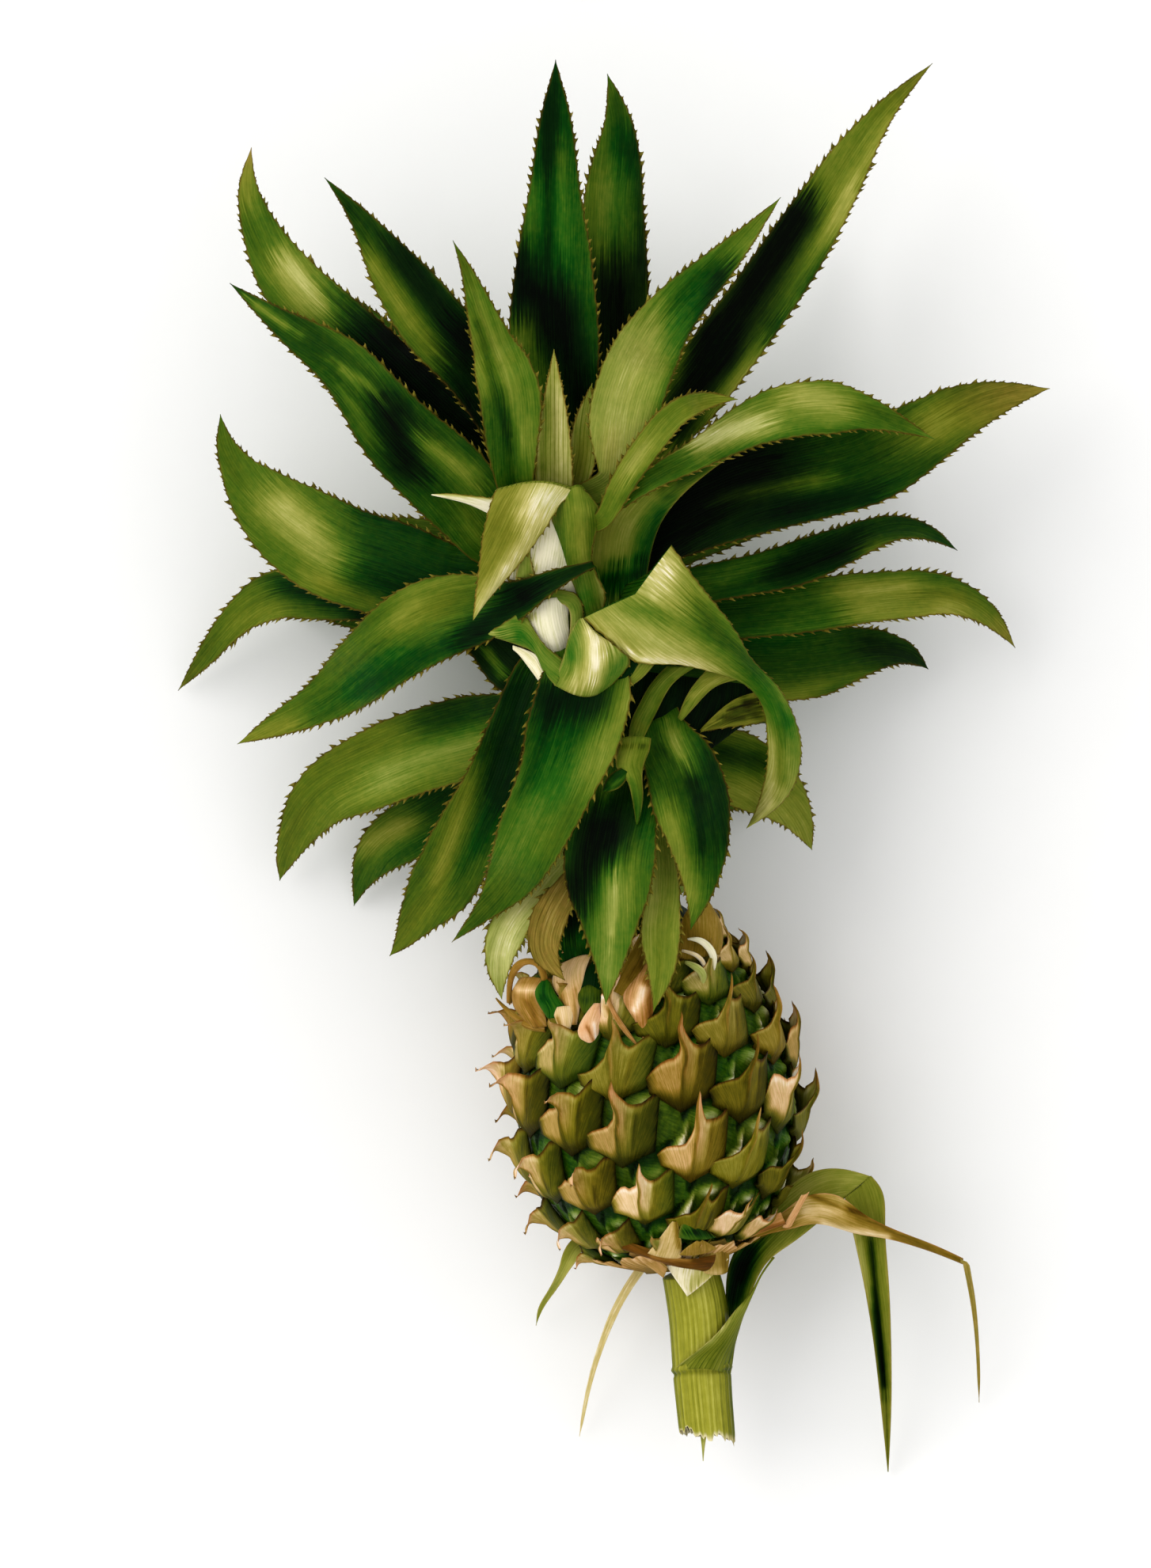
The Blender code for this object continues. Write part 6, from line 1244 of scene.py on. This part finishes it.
def make_stalk():
    rows, n = 112, 120
    s, c, T, U, V, r, full = stalk_round(rows, n)
    a = np.arange(n)*2*math.pi/n
    S, A_ = np.meshgrid(s, a, indexing="ij")
    rib = .16*np.cos(A_*26) + .10*np.cos(A_*43 + 1)
    node = .56 + .035*(1 - np.sin(A_))
    swell = .6*np.exp(-((S - node)/.015)**2) - .45*np.exp(-((S - node - .03)/.012)**2) + .35*smooth(.75, 1, S)
    out = rib + swell
    # the torn end: a ragged lip, longer on one side
    jag = 1.2*np.sin(a*5 + .6) + .8*np.sin(a*11 + 2) + .6*np.sin(a*23 + 1) + .5*np.sin(a*37)
    lip = -3.2*np.cos(a) + jag - .8
    shift = np.clip((S - .86)/.14, 0, 1)**1.4*lip[None, :]
    p = c[:, None] + (r[:, None] + out)[..., None]*(np.cos(A_)[..., None]*U[:, None] + np.sin(A_)[..., None]*V[:, None]) + shift[..., None]*T[:, None]
    # inside of the tear: rings that step inwards
    V_, F_ = [p.reshape(-1, 3)], [grid_faces(rows, n, wrap=True)]
    F_[0] = F_[0][:, ::-1]
    at = rows*n
    prev = (rows - 1)*n
    # painted light: the stalk is lighter on the side toward the lamp, with a painted highlight stripe, and painted
    # shade in the groove just past the node
    tones = [(.37 + .20*np.cos(A_ - 1.15) + .055*np.cos(A_*26 + 2*np.cos(A_*3)) + .05*np.cos(A_*41 + 1 + 3*np.cos(A_*2)) - .16*np.exp(-((S - node - .02)/.02)**2) + .12*np.exp(-((A_ - 1.9)/.5)**2)).ravel()]
    dry = [(smooth(.965, 1, S)).ravel()]
    rng = np.random.default_rng(31)
    for k, (f, back) in enumerate(((.93, .6), (.82, 3.4), (.62, 4.6), (.4, 3.2), (.2, 5.0))):
        tuft = rng.uniform(-1.6, 1.6, n)*(.5 + .3*k) + .5*lip
        ring = c[-1] + (f*r[-1])*(np.cos(a)[:, None]*U[-1] + np.sin(a)[:, None]*V[-1]) - (back - tuft*.6)[:, None]*T[-1]
        V_.append(ring)
        i = np.arange(n)
        j = (i + 1) % n
        F_.append(np.stack([prev + i, at + i, at + j, prev + j], -1)[:, ::-1])
        prev = at
        at += n
        tones.append(.5 + .25*rng.random(n))
        dry.append(np.ones(n))
    V_.append([c[-1] - 4*T[-1]])
    F_.append(np.stack([prev + np.arange(n), prev + (np.arange(n) + 1) % n, np.full(n, at)], -1)[:, ::-1][:, ::-1])
    tones.append([.6]); dry.append([1])
    V_.append([c[0]])
    at += 1
    F_.append(np.stack([(np.arange(n) + 1) % n, np.arange(n), np.full(n, at)], -1)[:, ::-1])
    tones.append([.4]); dry.append([0])
    v = np.concatenate(V_)
    tone = np.concatenate(tones)
    co = np.zeros((len(v), 3))
    co[:rows*n, 0] = (A_*11).ravel()
    co[:rows*n, 1] = (S*full).ravel()
    co[rows*n:] = v[rows*n:]*np.array((1, .3, 1))
    put_piece("stalk_skin", v, F_, STALK, {"leafco": co, "tone": np.clip(tone, 0, 1), "warm": tone*0 + .6, "dry": np.concatenate(dry), "rib": tone*0},
              node="stalk")


STALK_LOOKS = {
 "stalk_leaf_b_fall": dict(tone=.60, warm=.9, ripple=.1, edge=.5, dry=((-1, -.5, .7),)),
 "stalk_leaf_c": dict(tone=.63, warm=1.0, ripple=.2, edge=.3, marks=((735, 1575, 705, 1620, 6, .08, .1),)),
 "stalk_leaf_d": dict(tone=.84, warm=1.0, ripple=.2, edge=.2, dry=((-1, -.5, .7),)),
}
TAN = dict(skin="bract", warm=1.0)
# the looks' marks paint shade and highlights as well as colour, such as the shaded inside of fall_a's fold
# name, node, left margin, right margin, middle, look, teeth, bulge
TRIM = (
 ("rise_a", "stalk_leaf_a_rise", ((919, 1668, 50), (917, 1630, 50), (922, 1596, 51), (942, 1560, 53), (980, 1517, 56), (1018, 1484, 59), (1055, 1476, 61.5), (1100, 1486, 64.5)),
  ((941, 1655, 55), (952, 1626, 56.5), (970, 1594, 58), (997, 1573, 59), (1032, 1546, 60.5), (1050, 1530, 62), (1066, 1514, 63.5)), ((930, 1660, 51), (936, 1626, 51), (950, 1590, 53), (975, 1560, 55.5), (1008, 1528, 58), (1036, 1507, 60.5), (1082, 1500, 64.5)),
  dict(tone=.60, warm=.9, edge=.3, marks=((925, 1650, 935, 1590, 13, -.46, -.9), (935, 1620, 955, 1575, 10, -.36, -.7), (955, 1570, 985, 1540, 12, -.12, -.2), (955, 1625, 990, 1575, 6, .10, .2), (1010, 1500, 1060, 1488, 12, .06, .1), (1070, 1500, 1096, 1488, 5, .14, 0))), (0, 0), 0),
 ("fall_a", "stalk_leaf_a_fall", ((1067, 1513, 64.2), (1077, 1556, 62), (1089, 1610, 57), (1103, 1690, 43), (1114, 1780, 22), (1123, 1863, 3.5)),
  ((1100, 1485, 65.2), (1112, 1500, 65.5), (1118, 1545, 63.5), (1122, 1610, 57), (1126, 1690, 43), (1127, 1780, 22), (1124, 1863, 3.5)), ((1084, 1500, 63.5), (1096, 1545, 58), (1105, 1610, 51.5), (1115, 1690, 38), (1121, 1780, 19), (1123.5, 1863, 3)),
  dict(tone=.57, warm=1.0, edge=.4, crease=True, marks=((1080, 1550, 1100, 1640, 4, .16, .1), (1100, 1560, 1118, 1760, 5, -.40, -.5), (1102, 1640, 1116, 1740, 4, -.2, -.5), (1114, 1500, 1122, 1640, 4, .02, .6))), (0, 0), 0),
 ("rise_b", "stalk_leaf_b_rise", ((905, 1573, 60), (930, 1560, 62), (960, 1549, 64.5), (990, 1530, 67), (1012, 1514, 70), (1038, 1507, 72), (1060, 1511, 73), (1085, 1529, 72), (1110, 1544, 70), (1150, 1561, 62.5), (1185, 1575, 55), (1217, 1590, 50.5)),
  ((912, 1583, 59.5), (940, 1570, 61), (970, 1559, 63), (1000, 1552, 65.5), (1030, 1546, 67.5), (1060, 1552, 68), (1085, 1559, 68), (1110, 1563, 66.5), (1150, 1573, 60), (1185, 1585, 53.5), (1217, 1598, 49.5)), ((908, 1578, 61), (935, 1565, 62.5), (965, 1554, 64), (995, 1540, 66.5), (1021, 1530, 69.5), (1049, 1533, 72.5), (1073, 1543, 73), (1098, 1552, 70), (1130, 1560, 65), (1167, 1573, 58.5), (1200, 1588, 52.5), (1217, 1594, 50.5)),
  dict(TAN, tone=.52, dry=((-1, -.5, .36),), edge=.8, marks=((1008, 1530, 1050, 1520, 12, .22, .1), (1030, 1544, 1110, 1560, 5, .30, .2), (1012, 1512, 1085, 1526, 3, -.30, 0), (1066, 1522, 1110, 1548, 7, -.16, 0), (1120, 1556, 1217, 1594, 6, -.14, 0), (912, 1576, 985, 1548, 6, -.10, 0))), (0, 0), 0),
 ("flap_one", (), ((988, 1550, 69), (1000, 1530, 74), (1012, 1509, 78)), ((1000, 1548, 68), (1010, 1528, 73), (1022, 1505, 77)), None, dict(TAN, tone=.68, dry=((-1, -.5, .9),)), (0, 0), .6),
 ("flap_two", (), ((930, 1563, 67), (955, 1545, 72), (986, 1531, 74)), ((935, 1568, 65.5), (965, 1556, 68), (993, 1546, 71)), None, dict(TAN, tone=.58, dry=((-1, -.5, .85),), marks=((940, 1560, 985, 1548, 3, -.25, 0),)), (0, 0), .8),
 ("bract_stalk", "stalk_bract", ((836, 1588, 76), (846, 1605, 72.5), (857, 1621, 70), (867, 1636, 67.2)), ((920, 1590, 68), (907, 1604, 69), (890, 1620, 69.5), (869, 1637, 67.2)), ((876, 1582, 80), (868, 1602, 76), (866, 1620, 72), (868, 1637, 67.6)),
  dict(tone=1.0, warm=.9, edge=.6, crease=True, rib=.2, dry=((-1, -.5, .1),), marks=((880, 1612, 905, 1600, 10, -.24, .4), (876, 1622, 892, 1612, 6, -.1, .3), (846, 1600, 862, 1612, 5, -.06, .2))), (0, 0), 0),
 ("collar_fan", (), ((818, 1582, 89), (832, 1564, 93), (849, 1541, 97)), ((860, 1588, 86), (860, 1564, 93), (855, 1541, 97)), None, dict(TAN, tone=.72, rib=.8, dry=((-1, -.5, .35),), marks=((853, 1545, 857, 1580, 4, -.3, 0),)), (0, 0), .8),
 ("collar_eye", (), ((857, 1562, 94), (858, 1552, 96), (862, 1542, 96)), ((905, 1562, 86), (890, 1552, 90), (872, 1542, 94)), None, dict(tone=.44, warm=.3, marks=((866, 1545, 900, 1556, 4, -.34, -.3),)), (0, 0), 1.5),
 ("collar_wing", (), ((858, 1584, 89), (868, 1574, 92), (880, 1566, 92)), ((905, 1576, 82), (896, 1570, 87), (886, 1565, 91)), None, dict(TAN, tone=.50, dry=((-1, -.5, .4),)), (0, 0), 1.0),
 ("collar_band", (), ((786, 1574, 82), (826, 1587, 82), (858, 1597, 80), (886, 1605, 74)), ((790, 1567, 86), (828, 1579, 88.5), (862, 1589, 86), (904, 1584, 79)), None, dict(TAN, tone=.27, dry=((-1, -.5, .7),), marks=((815, 1580, 860, 1588, 4, .24, .2), (870, 1590, 890, 1600, 6, -.1, 0))), (0, 0), 2.0),
 ("collar_tan", (), ((796, 1584, 76), (820, 1600, 73), (838, 1614, 68)), ((796, 1577, 81), (828, 1588, 80), (843, 1600, 76)), None, dict(TAN, tone=.60, dry=((-1, -.5, .6),)), (0, 0), 1.0),
 ("collar_ribs", (), ((880, 1566, 84), (882, 1590, 77), (886, 1607, 72)), ((917, 1562, 74), (921, 1588, 66), (919, 1606, 62)), None, dict(TAN, tone=.56, rib=.9, dry=((-1, -.5, .35),), marks=((890, 1600, 915, 1596, 5, .14, 0), (912, 1570, 916, 1600, 4, -.2, 0))), (0, 0), 2.0),
 ("sheath_a", (), ((850, 1733, 50), (862, 1721, 60), (885, 1703, 64.5), (905, 1685, 63.5), (922, 1664, 60), (934, 1650, 58.8), (944, 1640, 58.6), (958, 1615, 59), (976, 1588, 59.8)), ((923, 1737, 50), (926, 1718, 51), (929, 1698, 52), (934, 1680, 53), (939, 1664, 54), (945, 1650, 56), (953, 1630, 57.5), (964, 1609, 58.6), (979, 1589, 59.8)), ((889, 1729, 63.8), (897, 1715, 63.5), (909, 1700, 61.8), (920, 1684, 60), (931, 1665, 58.4), (940, 1650, 58.2), (949, 1636, 58.6), (961, 1612, 59.4), (977, 1588, 60)),
  dict(tone=.56, warm=1.0, rib=.5, edge=.2, marks=((858, 1724, 905, 1686, 4, .16, -.2), (905, 1686, 942, 1642, 4, .16, -.2), (880, 1722, 918, 1700, 8, -.10, 0), (922, 1725, 930, 1690, 4, -.14, 0))), (0, 0), 0),
 ("torn_fibre", (), ((881, 1796, 53), (885, 1816, 51.5), (888, 1846, 49)), ((896, 1799, 53), (892, 1818, 51.5), (888.6, 1846, 49)), None, dict(tone=.80, warm=.8, marks=((884, 1800, 888, 1830, 2, -.2, 0),)), (0, 0), .4),
 # the dry bracts and old leaf ends round the crown's neck
 ("neck_shade", (), ((698, 1120, 92), (699, 1170, 92), (700, 1216, 90)), ((738, 1120, 92), (742, 1170, 92), (748, 1206, 91)), None, dict(tone=.16, warm=.0, edge=0, marks=((706, 1204, 742, 1198, 12, .26, .1), (720, 1140, 722, 1170, 10, -.1, 0))), (0, 0), 2.0),
 ("neck_dome", (), ((856, 1212, 93), (857, 1180, 93), (864, 1156, 90), (880, 1137, 85)), ((909, 1206, 84), (913, 1182, 82), (906, 1156, 82), (888, 1137, 83)), None, dict(TAN, tone=.48, dry=((-1, -.5, .35),), edge=.6, marks=((880, 1150, 895, 1190, 10, .04, .2), (865, 1190, 885, 1205, 10, -.10, 0))), (0, 0), 4.0),
 ("neck_ring_one", (), ((868, 1185, 96), (884, 1184, 97), (898, 1193, 96), (905, 1207, 94), (903, 1224, 91)), ((870, 1187, 96), (882, 1191, 97), (891, 1199, 96), (897, 1211, 94), (900, 1224, 91)), None, dict(tone=1.0, warm=.5, edge=0), (0, 0), .5),
 ("neck_ring_two", (), ((862, 1199, 96), (878, 1203, 97), (889, 1212, 95), (893, 1224, 93)), ((861, 1202, 96), (875, 1207, 97), (884, 1215, 95), (890, 1226, 93)), None, dict(TAN, tone=.88, dry=((-1, -.5, .3),)), (0, 0), .5),
 ("neck_ring_three", (), ((866, 1213, 98), (882, 1218, 99), (892, 1230, 97), (889, 1244, 96)), ((865, 1217, 98), (877, 1226, 99), (884, 1236, 97), (885, 1246, 96)), None, dict(tone=.80, warm=.3, edge=.2), (0, 0), .6),
 ("neck_fold", (), ((704, 1220, 92), (698, 1240, 93), (711, 1265, 96), (722, 1294, 98)), ((747, 1206, 92), (738, 1232, 98), (734, 1262, 99), (729, 1294, 99)), None, dict(TAN, tone=.72, rib=.6, dry=((-1, -.5, .6),), marks=((702, 1222, 745, 1212, 7, .05, -.3), (704, 1245, 722, 1288, 4, -.22, 0), (726, 1240, 726, 1288, 3, -.16, 0))), (0, 0), 1.5),
 ("neck_eye_one", (), ((750, 1214, 93), (737, 1231, 97), (733, 1250, 99)), ((753, 1214, 94), (760, 1232, 99), (759, 1250, 101)), None, dict(tone=.17, warm=.0, edge=0), (0, 0), .8),
 ("neck_eye_two", (), ((734, 1246, 98), (730, 1260, 100), (737, 1280, 100)), ((758, 1246, 100), (762, 1262, 102), (752, 1278, 102)), None, dict(tone=.36, warm=.7, edge=.3, marks=((736, 1252, 756, 1250, 4, -.2, -.3),)), (0, 0), 1.4),
 ("neck_fan_pink", (), ((750, 1267, 103), (736, 1286, 103), (730, 1304, 103), (750, 1323, 101)), ((758, 1267, 103), (758, 1288, 104), (756, 1306, 103), (753, 1323, 101)), None, dict(TAN, tone=.76, rib=.8, dry=((-1, -.5, 1),), marks=((744, 1285, 748, 1315, 2, -.3, 0), (752, 1280, 753, 1315, 2, .2, 0))), (0, 0), 1.0),
 ("neck_cream", (), ((766, 1256, 103), (759, 1272, 104), (766, 1292, 104), (773, 1304, 103)), ((786, 1258, 104), (785, 1276, 105), (780, 1294, 105), (775, 1304, 103)), None, dict(TAN, tone=.78, rib=.5, dry=((-1, -.5, .5),), marks=((768, 1262, 778, 1298, 3, -.3, .1),)), (0, 0), 1.0),
 ("neck_spine", (), ((764, 1258, 106), (776, 1286, 108), (790, 1306, 108), (806, 1322, 108)), ((768, 1256, 106), (782, 1284, 108), (795, 1303, 108), (807, 1321, 108)), None, dict(TAN, tone=.55, dry=((-1, -.5, .8),)), (0, 0), .5),
 ("neck_dark", (), ((786, 1258, 103), (785, 1280, 104), (796, 1304, 104)), ((798, 1262, 105), (806, 1284, 105), (812, 1308, 104)), None, dict(tone=.22, warm=.6, edge=0), (0, 0), .5),
 ("neck_fan_brown", (), ((817, 1212, 99), (801, 1236, 105), (787, 1257, 106), (799, 1284, 106), (812, 1312, 105)), ((823, 1212, 99), (829, 1240, 105), (828, 1266, 106), (821, 1290, 106), (814, 1312, 105)), None, dict(TAN, tone=.56, rib=.7, dry=((-1, -.5, .8),), marks=((798, 1264, 816, 1238, 5, .40, 0), (806, 1290, 822, 1260, 5, -.08, 0), (820, 1230, 824, 1280, 4, -.2, 0))), (0, 0), 1.8),
 ("neck_wedge", (), ((808, 1180, 96), (790, 1214, 103), (772, 1250, 105)), ((823, 1200, 97), (809, 1228, 104), (786, 1258, 106)), None, dict(TAN, tone=.42, dry=((-1, -.5, .35),), marks=((800, 1226, 815, 1206, 4, -.16, 0),)), (0, 0), .8),
 ("neck_left", (), ((655, 1238, 82), (647, 1254, 82), (652, 1276, 82), (672, 1294, 84)), ((686, 1236, 92), (680, 1258, 93), (688, 1278, 92), (692, 1296, 91)), None, dict(TAN, tone=.52, rib=.5, dry=((-1, -.5, .6),), marks=((658, 1239, 684, 1240, 4, .28, .2), (664, 1255, 676, 1288, 3, -.16, 0))), (.6, 0), 2.0),
 ("neck_green", (), ((687, 1236, 94), (676, 1252, 95), (683, 1272, 95), (692, 1286, 95)), ((695, 1240, 95), (707, 1262, 97), (714, 1274, 97), (706, 1284, 96)), None, dict(tone=.44, warm=.0, edge=.1, marks=((684, 1250, 690, 1270, 4, -.2, 0),)), (0, 0), 1.2),
 ("neck_pale", (), ((698, 1274, 96), (703, 1290, 98), (712, 1306, 98)), ((724, 1270, 99), (723, 1290, 100), (718, 1306, 99)), None, dict(TAN, tone=.80, rib=.5, dry=((-1, -.5, .5),), marks=((702, 1276, 706, 1290, 3, -.3, .4),)), (0, 0), 1.0),
 ("neck_loop", (), ((640, 1266, 78), (642, 1234, 84), (651, 1216, 89), (667, 1210, 93), (685, 1217, 96), (692, 1236, 95)), ((647, 1266, 78), (649, 1238, 84), (657, 1224, 89), (668, 1218, 93), (679, 1223, 96), (684, 1238, 95)), None, dict(TAN, tone=.50, dry=((-1, -.5, .6),)), (0, 0), .8),
 ("neck_tail", (), ((690, 1292, 90), (664, 1286, 84), (645, 1275, 80), (627, 1260, 78)), ((690, 1304, 88), (663, 1298, 83), (645, 1284, 79.5), (627, 1262, 78)), None, dict(TAN, tone=.50, dry=((-1, -.5, .5),)), (0, 0), 1.0),
)


def make_trim():
    for i, (name, node, left, right, middle, look, teeth, bulge) in enumerate(TRIM):
        lobe(name, left, right, look, np.random.default_rng(700 + i), bulge=bulge, middle=middle, teeth=teeth, node=node)


def make_stalk_leaves(blades):
    feet = {"stalk_leaf_b_fall": (*to_plan(1214, 1592), 51.5), "stalk_leaf_c": (*to_plan(790, 1580), 46), "stalk_leaf_d": (*to_plan(830, 1588), 46)}
    for i, (name, look) in enumerate(STALK_LOOKS.items()):
        leaf_piece(blades[name], look, np.random.default_rng(900 + i), node=name, foot=feet[name], teeth=0, thick=.45, cols=13)
    make_trim()


# ------------------------------------------------------------- floor, light, camera
def stage():
    n = Net("studio_floor", .9, .1)
    where = n.t.nodes.new("ShaderNodeTexCoord").outputs["Object"]
    grain = n.noise(where, 60.0, 3, .6)
    n.colour(n.mix(grain, (.95, .95, .945, 1), (.97, .97, .965, 1)))
    mesh = bpy.data.meshes.new("floor")
    w = 40.0
    mesh.from_pydata([(-w, -w, 0), (w, -w, 0), (w, w, 0), (-w, w, 0)], [], [(0, 1, 2, 3)])
    mesh.materials.append(n.mat)
    floor = bpy.data.objects.new("floor", mesh)
    bpy.context.scene.collection.objects.link(floor)

    world = bpy.data.worlds.new("soft_room")
    world.use_nodes = True
    world.node_tree.nodes["Background"].inputs[0].default_value = (1.0, 1.0, 1.0, 1)
    world.node_tree.nodes["Background"].inputs[1].default_value = .90
    bpy.context.scene.world = world
    sun = bpy.data.lights.new("key", "SUN")
    sun.energy = 1.15
    sun.angle = math.radians(46)
    sun.color = (1.0, .985, .955)
    key = bpy.data.objects.new("key", sun)
    key.rotation_mode = "QUATERNION"
    from mathutils import Vector
    key.rotation_quaternion = Vector((-.62, .34, .80)).to_track_quat("Z", "Y")
    bpy.context.scene.collection.objects.link(key)

    view = bpy.context.scene.view_settings
    view.view_transform = "Standard"
    view.look = "None"
    view.exposure = 0
    view.gamma = 1
    bpy.context.scene.cycles.use_denoising = True

    cam = bpy.data.cameras.new("camera")
    far = 14.0
    cx, cy = to_plan(727, 990.5)
    cam.sensor_width = 36
    cam.lens = 36*(far - .06)/(1981*GRID*MM)
    cam.clip_start, cam.clip_end = .5, 60
    eye = bpy.data.objects.new("camera", cam)
    eye.location = ((cx + ORIGIN[0])*MM, (cy + ORIGIN[1])*MM, far)
    bpy.context.scene.collection.objects.link(eye)
    bpy.context.scene.camera = eye


BLADES = make_leaves()
make_heart()
make_fruit()
crown_stem()
make_stalk()
make_stalk_leaves(BLADES)
stage()
